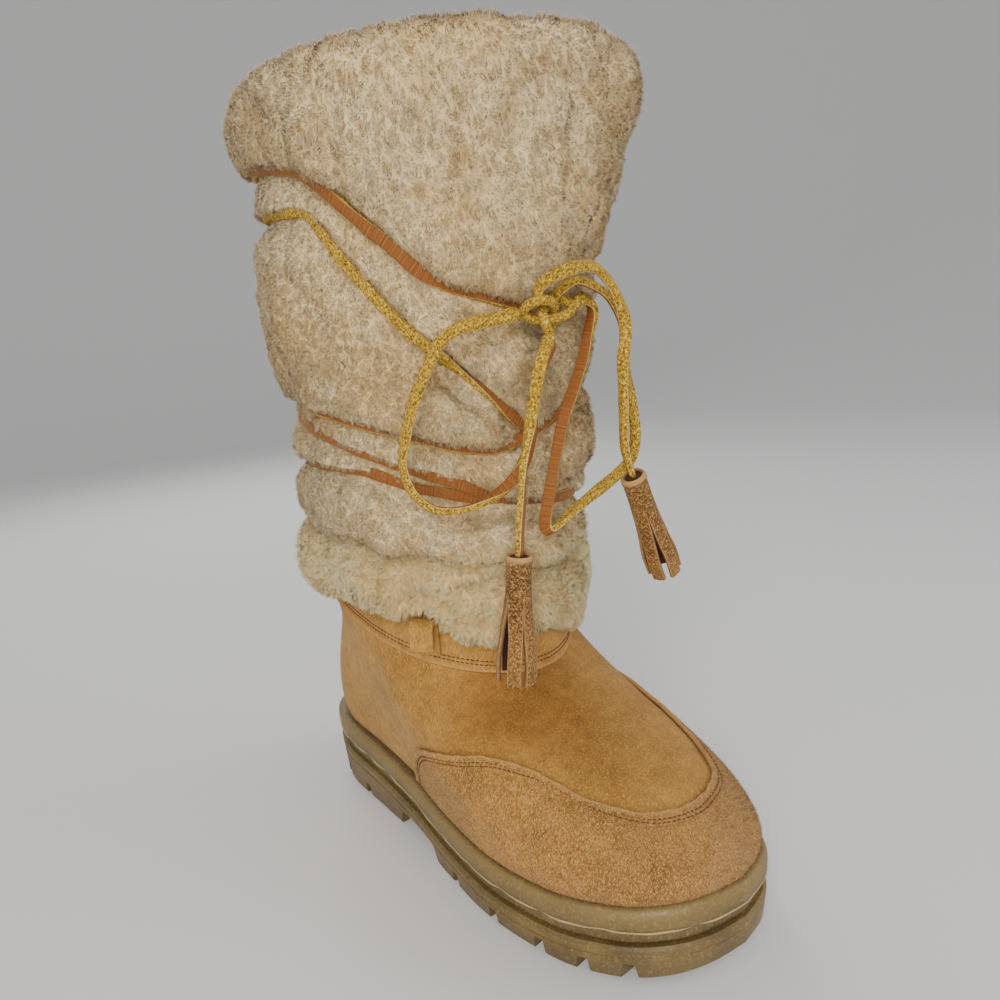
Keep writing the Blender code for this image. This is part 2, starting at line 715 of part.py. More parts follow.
def wrap_strap(name, table, direction, tree):
    """One half of the lace laid round the fur, in its furrow, just clear of it."""
    count = int((table[-1][0] - table[0][0]) / 14) + 1
    centres, normals = [], []
    for turn in np.linspace(table[0][0], table[-1][0], count):
        height = float(through(table, 1, turn)) * MM
        reach, away, middle = outer_radius(tree, radians(turn) * direction, height)
        centres.append(middle + away * (reach + LACE_THICK / 2 + LACE_LIFT))
        normals.append(away)
    return strap_mesh(name, centres, normals, LACE_WIDTH, LACE_THICK, THONG)


def build_wraps(tree):
    wraps = wrap_strap("lace_wraps", WRAP_A, 1, tree)
    other = helper(wrap_strap("wrap_b", WRAP_B, -1, tree))
    boolean(wraps, other, "UNION")
    return wraps


def build_keeper(tree):
    """The upright strap at the back that holds both wraps to the cuff, bowed out over them."""
    turn = radians(KEEPER_TURN)
    centres, normals = [], []
    for share in np.linspace(-1, 1, 9):
        height = KEEPER_MIDDLE + share * KEEPER_HEIGHT / 2
        held = 1 - abs(share) ** 6
        reach, away, middle = outer_radius(tree, turn, height, held)
        lift = GAP + (LACE_THICK + LACE_LIFT) * held
        centres.append(middle + away * (reach + LACE_THICK / 2 + lift))
        normals.append(away)
    return strap_mesh("back_keeper", centres, normals, KEEPER_WIDTH, LACE_THICK * 0.7, SUEDE)


def build_tab():
    """A suede loop sewn to the ankle band under the hem: the lace starts in it."""
    around = -TAB_TURN / 180
    low, high = upper_point(around, 1.15), upper_point(around, 1.8)
    up = Vector(high - low).normalized()
    away = Vector((-sin(radians(TAB_TURN)), -cos(radians(TAB_TURN)), 0))
    start = Vector(low) + away * (OVERLAY_GAP + OVERLAY + TAB_CLEAR + TAB_THICK / 2)
    profile = [start + up * TAB_LENGTH * share for share in (0, 0.25, 0.5, 0.75)]
    centre = start + up * TAB_LENGTH * 0.8 + away * TAB_DEPTH / 2
    for angle in (150, 120, 90, 60, 30):
        turn = away * cos(radians(angle)) + up * sin(radians(angle))
        profile.append(centre + turn * TAB_DEPTH / 2)
    profile += [start + up * TAB_LENGTH * share + away * TAB_DEPTH for share in (0.75, 0.5, 0.3)]
    across = away.cross(up).normalized()
    normals = []
    for i in range(len(profile)):
        along = (profile[min(i + 1, len(profile) - 1)] - profile[max(i - 1, 0)]).normalized()
        normals.append(across.cross(along))
    return strap_mesh("lace_tab", profile, normals, TAB_WIDTH, TAB_THICK, SUEDE)


def tube(name, points, diameter, finish, closed=False):
    """A round cord through points: a smooth curve with round sides and filled ends."""
    curve = bpy.data.curves.new(name, "CURVE")
    curve.dimensions = "3D"
    curve.bevel_depth = diameter / 2
    curve.bevel_resolution = 2
    curve.use_fill_caps = True
    spline = curve.splines.new("POLY")
    spline.points.add(len(points) - 1)
    for place, point in zip(spline.points, points):
        place.co = (*point, 1)
    spline.use_cyclic_u = closed
    curve.materials.append(material(finish))
    obj = bpy.data.objects.new(name, curve)
    bpy.context.scene.collection.objects.link(obj)
    return obj


def smooth_route(points):
    """Points at even steps on a smooth curve through the route's own points, given in millimetres."""
    knots = [Vector(p) * MM for p in points]
    padded = [knots[0] * 2 - knots[1], *knots, knots[-1] * 2 - knots[-2]]
    fine = []
    for i in range(1, len(padded) - 2):
        p0, p1, p2, p3 = padded[i - 1 : i + 3]
        for step in range(12):
            t = step / 12
            fine.append(
                0.5 * (2 * p1 + (p2 - p0) * t + (2 * p0 - 5 * p1 + 4 * p2 - p3) * t**2
                       + (3 * p1 - p0 - 3 * p2 + p3) * t**3)
            )
    fine.append(knots[-1])
    run = np.concatenate(([0], np.cumsum([(b - a).length for a, b in zip(fine, fine[1:])])))
    places = np.linspace(0, run[-1], max(int(round(run[-1] / LACE_STEP)), 2) + 1)
    table = np.array(fine)
    return [Vector([np.interp(place, run, table[:, axis]) for axis in range(3)]) for place in places]


def build_knot():
    """The knot: one cord wound three times through itself."""
    points = []
    for k in range(30):
        t = 2 * pi * k / 30
        x, z, y = sin(t) + 2 * sin(2 * t), cos(t) - 2 * cos(2 * t), -sin(3 * t)
        side = (KNOT_WIDTH - KNOT_CORD) / 6
        tall = (KNOT_HEIGHT - KNOT_CORD) / 6
        points.append(KNOT_CENTRE + Vector((x * side, y * KNOT_DEPTH / 2, z * tall)))
    return tube("lace_knot", points, KNOT_CORD * 0.86, THONG, closed=True)


def build_tassel(name, top, foot):
    """A rolled suede tube, slit from below into strips that stay joined at the top."""
    axis = (foot - top).normalized()
    side = axis.cross(Vector((0, 1, 0))).normalized()
    other = axis.cross(side)
    per_strip = 6
    count = TASSEL_STRIPS * per_strip
    points = []
    for share, wide, slit in TASSEL_ROWS:
        for k in range(count):
            turn = 2 * pi * k / count
            radius = TASSEL_TOP / 2 * wide * (1 - slit * (k % per_strip == 0))
            radius *= 1 - 0.05 * (k % per_strip in (1, 5))
            points.append(top + axis * TASSEL_LENGTH * share + (side * cos(turn) + other * sin(turn)) * radius)
    first, last = len(points), len(points) + 1
    points += [top.copy(), top + axis * TASSEL_LENGTH * 0.97]
    faces = ring_faces(len(TASSEL_ROWS), count)
    faces += [(first, k, (k + 1) % count) for k in range(count)]
    base = (len(TASSEL_ROWS) - 1) * count
    faces += [(last, base + (k + 1) % count, base + k) for k in range(count)]
    return mesh_object(name, points, faces, TASSEL_SUEDE, 30)


def build_lace_ends():
    for name, route in (("bow_loop_left", LOOP_LEFT), ("bow_loop_right", LOOP_RIGHT)):
        tube(name, smooth_route(route), KNOT_CORD, THONG)
    ends = (
        ("left", END_LEFT, TASSEL_LEFT_FOOT),
        ("right", END_RIGHT, TASSEL_RIGHT_FOOT),
    )
    for side, route, foot in ends:
        tube("lace_end_" + side, smooth_route(route), KNOT_CORD, THONG)
        end = Vector(route[-1]) * MM
        down = (foot - end).normalized()
        build_tassel("tassel_" + side, end + down * TASSEL_CLEAR, foot)


def main():
    clear_scene()
    build_outsole()
    build_midsole()
    build_welt()
    build_insole()
    build_upper()
    build_toe_cap()
    build_ankle_band()
    shaft = build_shaft()
    tree = BVHTree.FromObject(shaft, bpy.context.evaluated_depsgraph_get())
    build_wraps(tree)
    build_keeper(tree)
    build_tab()
    build_knot()
    build_lace_ends()


main()
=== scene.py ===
# %% [markdown]
# # Dressing a winter boot
#
# The boot comes in as a frame of plain solids at their real size. This script makes what the eye meets on
# them: suede with its creases and stitches, a ribbed rubber sole, a deep sheepskin pile, and one long thong
# that criss-crosses the leg and ends in a bow with two tassels. Every place is in metres, +Z is up, the toe
# points along -Y, and the inner side of this right foot is +X.

# %% Load the frame
import json
from math import cos, pi, radians, sin

import bmesh
import bpy
import numpy as np
from mathutils import Matrix, Vector
from mathutils.bvhtree import BVHTree
from mathutils.kdtree import KDTree

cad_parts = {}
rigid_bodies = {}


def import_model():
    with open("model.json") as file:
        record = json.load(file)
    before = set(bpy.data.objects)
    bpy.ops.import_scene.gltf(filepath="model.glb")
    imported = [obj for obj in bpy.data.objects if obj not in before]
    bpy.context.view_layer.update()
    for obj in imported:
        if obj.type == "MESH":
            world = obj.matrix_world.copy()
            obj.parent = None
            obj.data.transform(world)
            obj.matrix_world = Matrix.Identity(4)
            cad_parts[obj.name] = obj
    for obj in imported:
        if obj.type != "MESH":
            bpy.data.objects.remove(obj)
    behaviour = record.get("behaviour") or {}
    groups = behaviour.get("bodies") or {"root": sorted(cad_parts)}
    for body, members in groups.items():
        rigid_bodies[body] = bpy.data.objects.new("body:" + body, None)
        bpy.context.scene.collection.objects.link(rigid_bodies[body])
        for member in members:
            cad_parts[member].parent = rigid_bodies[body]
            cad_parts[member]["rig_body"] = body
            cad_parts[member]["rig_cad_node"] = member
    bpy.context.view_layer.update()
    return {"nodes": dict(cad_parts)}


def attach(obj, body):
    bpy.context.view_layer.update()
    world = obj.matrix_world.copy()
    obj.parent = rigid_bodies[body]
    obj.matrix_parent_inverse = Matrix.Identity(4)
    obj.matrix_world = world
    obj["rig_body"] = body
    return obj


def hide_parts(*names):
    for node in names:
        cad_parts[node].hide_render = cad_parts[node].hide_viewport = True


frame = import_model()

MM = 0.001

# %% [markdown]
# ## Camera, light and floor
#
# The photo looks down on the toe from the front and the outer side, from hardly forty centimetres away, so
# the shaft looms large and the toe runs away from it. The place and the tilt of the camera were found by
# fitting the boot's own form to the picture. The lens is a little wider than the photo's, so that the rim
# and the heel, which the picture cuts off, are in the frame as well. A soft key light from above, a wide
# fill and a pale world keep the shadows open, as in the photo.

# %% Camera
CAMERA_PLACE = Vector((-0.2185, -0.2829, 0.2583))
CAMERA_HEADING = 51.9
CAMERA_DOWN = 23.3
CAMERA_ROLL = -5.3
CAMERA_LENS = 28
CAMERA_SENSOR = 36
CAMERA_SHIFT = (0.0, 0.15)


def linked(name, data):
    """A new object in the scene, made from its data."""
    obj = bpy.data.objects.new(name, data)
    bpy.context.scene.collection.objects.link(obj)
    return obj


camera = linked("camera", bpy.data.cameras.new("camera"))
turn = Matrix.Rotation(radians(CAMERA_HEADING - 90), 4, "Z")
tilt = Matrix.Rotation(radians(90 - CAMERA_DOWN), 4, "X")
roll = Matrix.Rotation(radians(CAMERA_ROLL), 4, "Z")
camera.matrix_world = Matrix.Translation(CAMERA_PLACE) @ turn @ tilt @ roll
camera.data.lens = CAMERA_LENS
camera.data.sensor_width = CAMERA_SENSOR
camera.data.shift_x, camera.data.shift_y = CAMERA_SHIFT
camera.data.clip_start = 10 * MM
bpy.context.scene.camera = camera


# %% Lights and floor
def area_light(name, place, aim, size, watts, colour):
    """A square soft box that looks from its place towards its aim."""
    lamp = bpy.data.lights.new(name, "AREA")
    lamp.size = size
    lamp.energy = watts
    lamp.color = colour
    obj = linked(name, lamp)
    obj.location = place
    obj.rotation_euler = (Vector(aim) - Vector(place)).to_track_quat("-Z", "Y").to_euler()


MIDDLE = (0.0, -0.01, 0.15)
WORLD_GREY = (0.87, 0.87, 0.87, 1)
WORLD_STRENGTH = 0.5
area_light("key", (-0.88, -0.76, 0.9), MIDDLE, 0.6, 10.5, (1.0, 0.96, 0.9))
area_light("front", (-0.6, -0.72, 0.24), (0, 0, 0.15), 0.4, 2.8, (1.0, 0.97, 0.92))
area_light("fill", (1.0, -0.9, 0.7), MIDDLE, 1.0, 6, (0.95, 0.97, 1.0))
area_light("back", (0.3, 1.1, 0.9), MIDDLE, 0.9, 7, (1.0, 0.98, 0.95))

world = bpy.data.worlds.new("studio")
bpy.context.scene.world = world
world.use_nodes = True
background = world.node_tree.nodes["Background"].inputs
background["Color"].default_value = WORLD_GREY
background["Strength"].default_value = WORLD_STRENGTH


# %% [markdown]
# ## Helpers for sheets of leather
#
# Leather starts as a flat sheet that is laid over a last, and so do the meshes here. A grid primitive is
# added, and each of its points goes where a function of its two shares, across and along, says. The grid
# brings its own UV map, which keeps those shares for the finish. A thong is the same sheet rolled up until
# its sides meet.

# %% Small sums with arrays of points
def numbers(items, field, width=3):
    """One field of many points or corners, as rows of numbers."""
    flat = np.empty(len(items) * width)
    items.foreach_get(field, flat)
    return flat.reshape(-1, width)


def places(obj):
    return numbers(obj.data.vertices, "co")


def normals_of(obj):
    return numbers(obj.data.vertex_normals, "vector")


def move_points(obj, points):
    obj.data.vertices.foreach_set("co", np.ascontiguousarray(points, dtype=np.float64).ravel())
    obj.data.update()


def unit(vectors):
    return vectors / np.linalg.norm(vectors, axis=-1, keepdims=True)


def near(distance, reach):
    """A soft bell: 1 where the distance is 0, and almost 0 at twice the reach."""
    return np.exp(-((distance / reach) ** 2))


def run_along(line):
    """How far along a line of points each of them is."""
    return np.concatenate(([0], np.cumsum(np.linalg.norm(np.diff(line, axis=0), axis=1))))


def at_steps(steps, run, line):
    return np.stack([np.interp(steps, run, line[:, axis]) for axis in range(3)], axis=1)


# %% Sheets laid on a form
def select_only(obj):
    bpy.ops.object.select_all(action="DESELECT")
    obj.select_set(True)
    bpy.context.view_layer.objects.active = obj


def apply_modifiers(obj):
    select_only(obj)
    for modifier in list(obj.modifiers):
        bpy.ops.object.modifier_apply(modifier=modifier.name)


def lay_sheet(name, columns, rows, place, closed=False, caps=False):
    """A grid laid on a form: place takes arrays of shares across and along, and gives an array of points."""
    bpy.ops.object.select_all(action="DESELECT")
    bpy.ops.mesh.primitive_grid_add(x_subdivisions=columns, y_subdivisions=rows, size=1)
    sheet = bpy.context.object
    sheet.name = sheet.data.name = name
    shares = places(sheet) + 0.5
    move_points(sheet, place(shares[:, 0], shares[:, 1]))
    if closed:
        merge_points(1e-6)
    if caps:
        turn_outwards(sheet, fill=True)
    bpy.ops.object.shade_smooth()
    return sheet


def merge_points(threshold, quads=False):
    """Merges the active piece's points that lie closer than this, and can turn its triangles into quads."""
    bpy.ops.object.mode_set(mode="EDIT")
    bpy.ops.mesh.select_all(action="SELECT")
    bpy.ops.mesh.remove_doubles(threshold=threshold)
    if quads:
        bpy.ops.mesh.tris_convert_to_quads(face_threshold=radians(70), shape_threshold=radians(70))
    bpy.ops.object.mode_set(mode="OBJECT")


def turn_outwards(obj, fill=False, split=False):
    """Turns all faces outwards. It can first fill each open end with a face, and split large faces."""
    work = bmesh.new()
    work.from_mesh(obj.data)
    if fill:
        bmesh.ops.holes_fill(work, edges=[edge for edge in work.edges if edge.is_boundary], sides=0)
    if split:
        bmesh.ops.triangulate(work, faces=[face for face in work.faces if len(face.verts) > 4])
    bmesh.ops.recalc_face_normals(work, faces=work.faces)
    work.to_mesh(obj.data)
    work.free()


def mark(obj, name, values):
    """Keeps one number from 0 to 1 for each point, for the finish to read."""
    layer = obj.data.attributes.new(name, "FLOAT", "POINT")
    layer.data.foreach_set("value", np.ascontiguousarray(np.clip(values, 0, 1), dtype=np.float32))


def ramp(values, width):
    """Rises from 0 to 1 while the values go from 0 to this width."""
    return np.clip(values / width, 0, 1)


def finished(obj, finish, slot, *nodes):
    """Gives a piece its finish, lets it ride on the boot, and puts it in the place of the frame's nodes."""
    obj.data.materials.clear()
    obj.data.materials.append(finish)
    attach(obj, "root")
    if nodes:
        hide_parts(*nodes)
    print(obj.name, "faces:", len(obj.data.polygons))


# %% [markdown]
# ## Wiring a finish
#
# Every finish is one Principled shader with a few noises in front of it. Small helpers keep the wiring
# short: one adds a node and links or sets its sockets, the others are the nodes used most. Colours are
# written as they look on a screen and made linear here. Patterns read Object coordinates, whose unit is a
# metre, so a noise of scale 400 has spots about 2.5 mm wide.

# %% Wiring helpers
def paint(red, green, blue):
    """A colour as on a screen, from 0 to 255, made linear."""
    shares = [channel / 255 for channel in (red, green, blue)]
    return (*[share / 12.92 if share <= 0.04 else ((share + 0.055) / 1.055) ** 2.4 for share in shares], 1)


def new_finish(name, **sockets):
    finish = bpy.data.materials.new(name)
    finish.use_nodes = True
    shader = finish.node_tree.nodes["Principled BSDF"]
    for socket, value in sockets.items():
        shader.inputs[socket.replace("_", " ")].default_value = value
    return finish


def wire(finish, kind, output=0, settings=(), inputs=(), **sockets):
    """Adds a node, with inputs by number or by name, and gives one of its outputs."""
    node = finish.node_tree.nodes.new("ShaderNode" + kind)
    for name, value in dict(settings).items():
        setattr(node, name, value)
    for key, value in (*dict(inputs).items(), *sockets.items()):
        plug(finish, value, node.inputs[key])
    return node.outputs[output]


def plug(finish, value, socket):
    if isinstance(value, bpy.types.NodeSocket):
        finish.node_tree.links.new(value, socket)
    else:
        socket.default_value = value


def into(finish, socket, value):
    plug(finish, value, finish.node_tree.nodes["Principled BSDF"].inputs[socket])


def spots(finish, scale, detail=3, roughness=0.55, where=None):
    """Noise on Object coordinates: its spots are about 1/scale metres wide."""
    where = where or wire(finish, "TexCoord", "Object")
    return wire(finish, "TexNoise", 0, Vector=where, Scale=scale, Detail=detail, Roughness=roughness)


def marked(finish, name):
    return wire(finish, "Attribute", "Fac", {"attribute_name": name})


def maths(finish, operation, *values, clamp=True):
    settings = {"operation": operation, "use_clamp": clamp}
    return wire(finish, "Math", 0, settings, enumerate(values))


def times(finish, first, second):
    return maths(finish, "MULTIPLY", first, second)


def shades(finish, amount, *stops):
    """A ramp of grey levels or colours: each stop is a place and a value."""
    node = finish.node_tree.nodes.new("ShaderNodeValToRGB")
    plug(finish, amount, node.inputs[0])
    points = node.color_ramp.elements
    while len(points) < len(stops):
        points.new(0.5)
    for point, (place, value) in zip(points, stops):
        point.position = place
        point.color = value if isinstance(value, tuple) else (value, value, value, 1)
    return node.outputs[0]


def over(finish, amount, below, above, how="MIX"):
    """One colour over another. A mix node keeps its colours in sockets 6 and 7 and its result in 2."""
    settings = {"data_type": "RGBA", "blend_type": how}
    return wire(finish, "Mix", 2, settings, {0: amount, 6: below, 7: above})


def relief(finish, height, distance, below=None, strength=1.0):
    normal = {"Normal": below} if below else {}
    return wire(finish, "Bump", Strength=strength, Distance=distance, Height=height, **normal)


# %% Floor: a flat round sheet whose rim curves up, as in a photographer's studio
FLOOR_FLAT = 1.6
FLOOR_BEND = 1.2
PAPER_GREY = (0.78, 0.78, 0.78, 1)


def studio_sheet(u, v):
    run = v * (FLOOR_FLAT + FLOOR_BEND * 1.8)
    bend = np.clip((run - FLOOR_FLAT) / FLOOR_BEND, 0, pi / 2)
    reach = np.minimum(run, FLOOR_FLAT) + FLOOR_BEND * np.sin(bend)
    rise = FLOOR_BEND * (1 - np.cos(bend)) + np.maximum(run - FLOOR_FLAT - FLOOR_BEND * pi / 2, 0)
    return np.stack((reach * np.cos(2 * pi * u), reach * np.sin(2 * pi * u), rise), axis=-1)


floor = lay_sheet("floor", 64, 24, studio_sheet, closed=True)
paper = new_finish("pale_paper", Roughness=0.9)
into(paper, "Base Color", PAPER_GREY)
floor.data.materials.append(paper)

# %% [markdown]
# ## Suede
#
# Suede is split leather with a brushed nap. It has no gloss, its colour wanders in soft clouds, and close
# up it is all short fibres that lie to and fro, some pale and some dark. The sheen lobe gives the soft
# bright edge of a nap seen from the side. Where the boot has been damp it is darker, and at the worn toe it
# is greyer and its fibres stand up pale. Those places, and the pale cut edges, are marked on the points of
# each piece.

# %% Suede finish
def suede_finish(name, base, dark, light, grain=1.0, combed=0.4, fineness=1250):
    finish = new_finish(name, Roughness=0.92, Sheen_Weight=0.16, Sheen_Roughness=0.45)
    into(finish, "Sheen Tint", (1.0, 0.82, 0.55, 1))
    where = wire(finish, "TexCoord", "Object")
    brushed = wire(finish, "Mapping", Vector=where, Rotation=(0.6, 0.4, 0.8), Scale=(1, 1, combed))
    into(finish, "Specular IOR Level", 0.15)
    clouds = shades(finish, spots(finish, 28, 4), (0.3, dark), (0.62, base))
    contrast = 0.15 * grain
    mottle = shades(finish, spots(finish, 170, 5, 0.65), (0.3, 0.5 - contrast), (0.7, 0.5 + contrast))
    colour = over(finish, 0.8, clouds, mottle, "OVERLAY")
    fine = spots(finish, fineness, 5, 0.8, brushed)
    colour = over(finish, shades(finish, fine, (0.5, 0.0), (0.66, 0.8 * grain)), colour, light)
    colour = over(finish, shades(finish, fine, (0.34, 0.85 * grain), (0.48, 0.0)), colour, dark)
    blotches = shades(finish, spots(finish, 60, 4), (0.25, 0.5), (0.7, 1.0))
    damp = times(finish, marked(finish, "damp"), blotches)
    colour = over(finish, damp, colour, over(finish, 1.0, colour, paint(216, 202, 188), "MULTIPLY"))
    smudges = shades(finish, spots(finish, 85, 5, 0.7), (0.38, 0.1), (0.6, 1.0))
    worn = times(finish, marked(finish, "worn"), smudges)
    colour = over(finish, worn, colour, over(finish, 0.5, colour, paint(158, 122, 86)))
    colour = over(finish, marked(finish, "edge"), colour, paint(200, 156, 100))
    # Painted shade: points marked dark, such as a tassel's inner side and core, take a deep brown.
    colour = over(finish, marked(finish, "dark"), colour, paint(74, 44, 36))
    into(finish, "Base Color", colour)
    nap = relief(finish, fine, 0.35 * MM * grain, strength=0.8)
    into(finish, "Normal", relief(finish, spots(finish, 240, 3), 0.5 * MM, nap, 0.35))
    return finish


SUEDE = suede_finish("wheat_suede", paint(179, 132, 66), paint(145, 102, 47), paint(213, 168, 96))
CAP_SUEDE = suede_finish(
    "cap_suede", paint(168, 118, 54), paint(122, 80, 34), paint(216, 174, 108), 1.5, 0.5, 1500
)

# %% [markdown]
# ## Rubber, sheepskin and thread
#
# The sole is matt khaki rubber, a shade paler on the rounded rand, with dust in its grooves and a painted
# shadow line along the rand's top and bottom edges. The pile is coloured along each fibre: greyish tan at
# its root and cream at its tip, in wandering patches; at the edges of its tufts and beside a thong it is
# painted darker as painted shade, and the hem's pile is painted lighter as painted light. The thread is dark
# brown.

# %% Rubber, pile and thread finishes
def rubber_finish():
    finish = new_finish("khaki_rubber", Roughness=0.5)
    into(finish, "Specular IOR Level", 0.4)
    body = shades(finish, spots(finish, 40, 4), (0.3, paint(92, 74, 40)), (0.7, paint(124, 102, 58)))
    rim = over(finish, times(finish, marked(finish, "rim"), 0.8), body, paint(140, 116, 66))
    grit = shades(finish, spots(finish, 300, 5, 0.7), (0.3, 0.5), (0.6, 1.0))
    # Darker brown with grit: over the ribbed band, low on the tread, and along the rand's top and bottom
    # edges, where it is a painted shadow line.
    dirt_and_shade_amount = times(finish, marked(finish, "dirt_and_shade"), grit)
    colour = over(finish, dirt_and_shade_amount, rim, paint(84, 66, 40))
    dust = shades(finish, spots(finish, 700, 5, 0.75), (0.52, 0.0), (0.75, 0.45))
    into(finish, "Base Color", over(finish, dust, colour, paint(196, 178, 138)))
    into(finish, "Roughness", shades(finish, spots(finish, 90, 4), (0.3, 0.42), (0.7, 0.62)))
    fine = relief(finish, spots(finish, 1500, 3), 0.08 * MM, strength=0.5)
    into(finish, "Normal", relief(finish, spots(finish, 130, 3), 0.25 * MM, fine, 0.4))
    return finish


def own_normal(finish):
    """The normal that a mesh brings along, also where a thin fibre is seen from behind."""
    behind = maths(finish, "SUBTRACT", wire(finish, "NewGeometry", "Backfacing"), marked(finish, "skin"))
    flip = maths(finish, "MULTIPLY_ADD", behind, -2, 1, clamp=False)
    normal = wire(finish, "NewGeometry", "Normal")
    return wire(finish, "VectorMath", 0, {"operation": "SCALE"}, {0: normal}, Scale=flip)


def pile_finish(name, root, tip, patch):
    finish = new_finish(name, Roughness=0.85, Sheen_Weight=0.15, Sheen_Roughness=0.6)
    into(finish, "Specular IOR Level", 0.2)
    along = marked(finish, "tip")
    broad = shades(finish, spots(finish, 26, 4, 0.6), (0.42, 0.0), (0.62, 1.0))
    small = shades(finish, spots(finish, 150, 4, 0.65), (0.35, 0.0), (0.7, 1.0))
    end = over(finish, times(finish, broad, 0.8), tip, patch)
    end = over(finish, times(finish, small, 0.5), end, patch)
    drift = shades(finish, spots(finish, 75, 5, 0.7), (0.48, 0.0), (0.68, 0.4))
    end = over(finish, drift, end, root)
    tone = over(finish, times(finish, marked(finish, "tone"), 0.65), end, root)
    into(finish, "Base Color", over(finish, shades(finish, along, (0.05, 0.0), (0.75, 1.0)), root, tone))
    felt = times(finish, spots(finish, 520, 4, 0.7), shades(finish, along, (0.4, 1.0), (0.6, 0.0)))
    into(finish, "Normal", relief(finish, felt, 0.9 * MM, own_normal(finish), 0.6))
    return finish


RUBBER = rubber_finish()
PILE = pile_finish("sheepskin_pile", paint(188, 150, 94), paint(255, 242, 200), paint(230, 198, 140))
# The hem's pile is the same wool in lighter colours, as painted light on the hem's rolls.
LIT_HEM_PILE = pile_finish("hem_pile_painted_light", paint(248, 206, 136), paint(255, 246, 192), paint(255, 230, 164))
WOOL = pile_finish("footbed_wool", paint(150, 122, 86), paint(214, 196, 160), paint(190, 168, 130))
FLASH = new_finish("pale_flash", Roughness=0.7)
into(FLASH, "Base Color", paint(178, 156, 112))
THREAD = new_finish("dark_thread", Roughness=0.8)
into(THREAD, "Base Color", paint(92, 58, 30))


# %% [markdown]
# ## The thong's finish
#
# The lace is one leather thong. Three of its sides are coarse mustard suede full of dark and golden flecks,
# and the fourth is the smooth russet skin side with fine cross creases. The thong's UV map runs round it
# and along it in centimetres, so the finish can tell its sides apart however it twists.

# %% Thong finish
def thong_finish():
    finish = new_finish("mustard_thong", Roughness=0.85, Sheen_Weight=0.1, Sheen_Roughness=0.5)
    into(finish, "Sheen Tint", (1.0, 0.85, 0.4, 1))
    fine = spots(finish, 1150, 4, 0.8)
    flecks = (
        (0.39, paint(88, 68, 20)), (0.48, paint(164, 126, 36)), (0.56, paint(214, 172, 54)),
        (0.65, paint(246, 216, 116)),
    )
    russets = ((0.3, paint(118, 68, 28)), (0.5, paint(143, 86, 37)), (0.72, paint(166, 106, 50)))
    corners = ((0.53, 0.0), (0.55, 1.0), (0.57, 0.0), (0.93, 0.0), (0.95, 1.0), (0.97, 0.0))
    nap = shades(finish, fine, *flecks)
    around = wire(finish, "SeparateXYZ", "X", Vector=wire(finish, "UVMap", 0))
    along = wire(finish, "SeparateXYZ", "Y", Vector=wire(finish, "UVMap", 0))
    skin_side = shades(finish, around, (0.0, 0.0), (0.555, 0.0), (0.575, 1.0), (0.925, 1.0), (0.945, 0.0))
    corner = shades(finish, around, *corners)
    one_way = {"noise_dimensions": "1D"}
    ribs = wire(finish, "TexNoise", 0, one_way, W=along, Scale=14, Detail=3, Roughness=0.6)
    skin = shades(finish, ribs, *russets)
    colour = over(finish, skin_side, nap, skin)
    into(finish, "Base Color", over(finish, times(finish, corner, 0.7), colour, paint(232, 204, 150)))
    into(finish, "Roughness", shades(finish, skin_side, (0.0, 0.92), (1.0, 0.55)))
    into(finish, "Specular IOR Level", 0.22)
    nap_relief = relief(finish, fine, 0.5 * MM, strength=0.9)
    into(finish, "Normal", relief(finish, times(finish, ribs, skin_side), 0.12 * MM, nap_relief, 0.6))
    return finish


THONG = thong_finish()
TASSEL = suede_finish(
    "tassel_suede", paint(136, 93, 46), paint(80, 50, 24), paint(210, 168, 106), 1.4, 1.0, 1150
)

# %% [markdown]
# ## The last
#
# A bootmaker works over a last, and so does this script. The same few sizes and shares that shape the
# frame's solids give a point of the upper's face for any share of the way round (0 at the toe, 1 at the
# heel, the outer side negative) and any row (0 at the sole, 1 at the ankle seam, 2 at the collar). With it,
# leather can be laid as finely as the eye needs, and seams and stitches can be placed by where they are on
# the boot.

# %% Sizes of the last
FOOT_LENGTH = 278 * MM
BALL_WIDTH = 98.5 * MM
HEEL_BACK = FOOT_LENGTH / 2
UPPER_WALL = 2.2 * MM
TOE_BOX_RISE = 21 * MM
SIDE_RISE = 33.5 * MM
HEEL_RISE = 30 * MM
BULGE = 7 * MM
INSTEP_REACH = 49 * MM
SIDE_REACH = 28 * MM
INSTEP_SLOPE = 28
ANKLE = {"width": 100 * MM, "length": 145 * MM, "centre": 37 * MM, "height": 126 * MM, "lean": 0.256}
COLLAR = {"width": 98 * MM, "length": 137 * MM, "centre": 34 * MM, "height": 156 * MM, "lean": 0.22}
OVERLAY_GAP = 0.4 * MM
OVERLAY = 1.8 * MM
GAP = 0.3 * MM
FORE_HEIGHT = 34 * MM
HEEL_HEIGHT = 44 * MM
TOE_SPRING = 7 * MM

# Share of the foot's length from the toe, outer half width, inner half width, as shares of the ball width.
OUTLINE = np.array((
    (0.00, -0.060, 0.060), (0.01, 0.080, 0.205), (0.04, 0.240, 0.335), (0.10, 0.380, 0.435),
    (0.20, 0.480, 0.490), (0.32, 0.510, 0.475), (0.45, 0.470, 0.390), (0.60, 0.395, 0.315),
    (0.75, 0.360, 0.325), (0.85, 0.340, 0.330), (0.94, 0.260, 0.260), (0.98, 0.155, 0.155),
    (1.00, 0.000, 0.000),
))
# Share of the length from the toe, share of the toe spring, share of the step from forefoot to heel.
SOLE_LINE = np.array((
    (0.00, 1.00, 0.0), (0.10, 0.45, 0.0), (0.26, 0.00, 0.0), (0.52, 0.00, 0.2), (0.74, 0.00, 0.7),
    (1.00, 0.00, 1.0),
))
GROUND_LINE = np.array(((0.0, 1.0), (0.05, 0.5), (0.10, 0.2), (0.17, 0.0), (0.96, 0.0), (1.0, 0.25)))


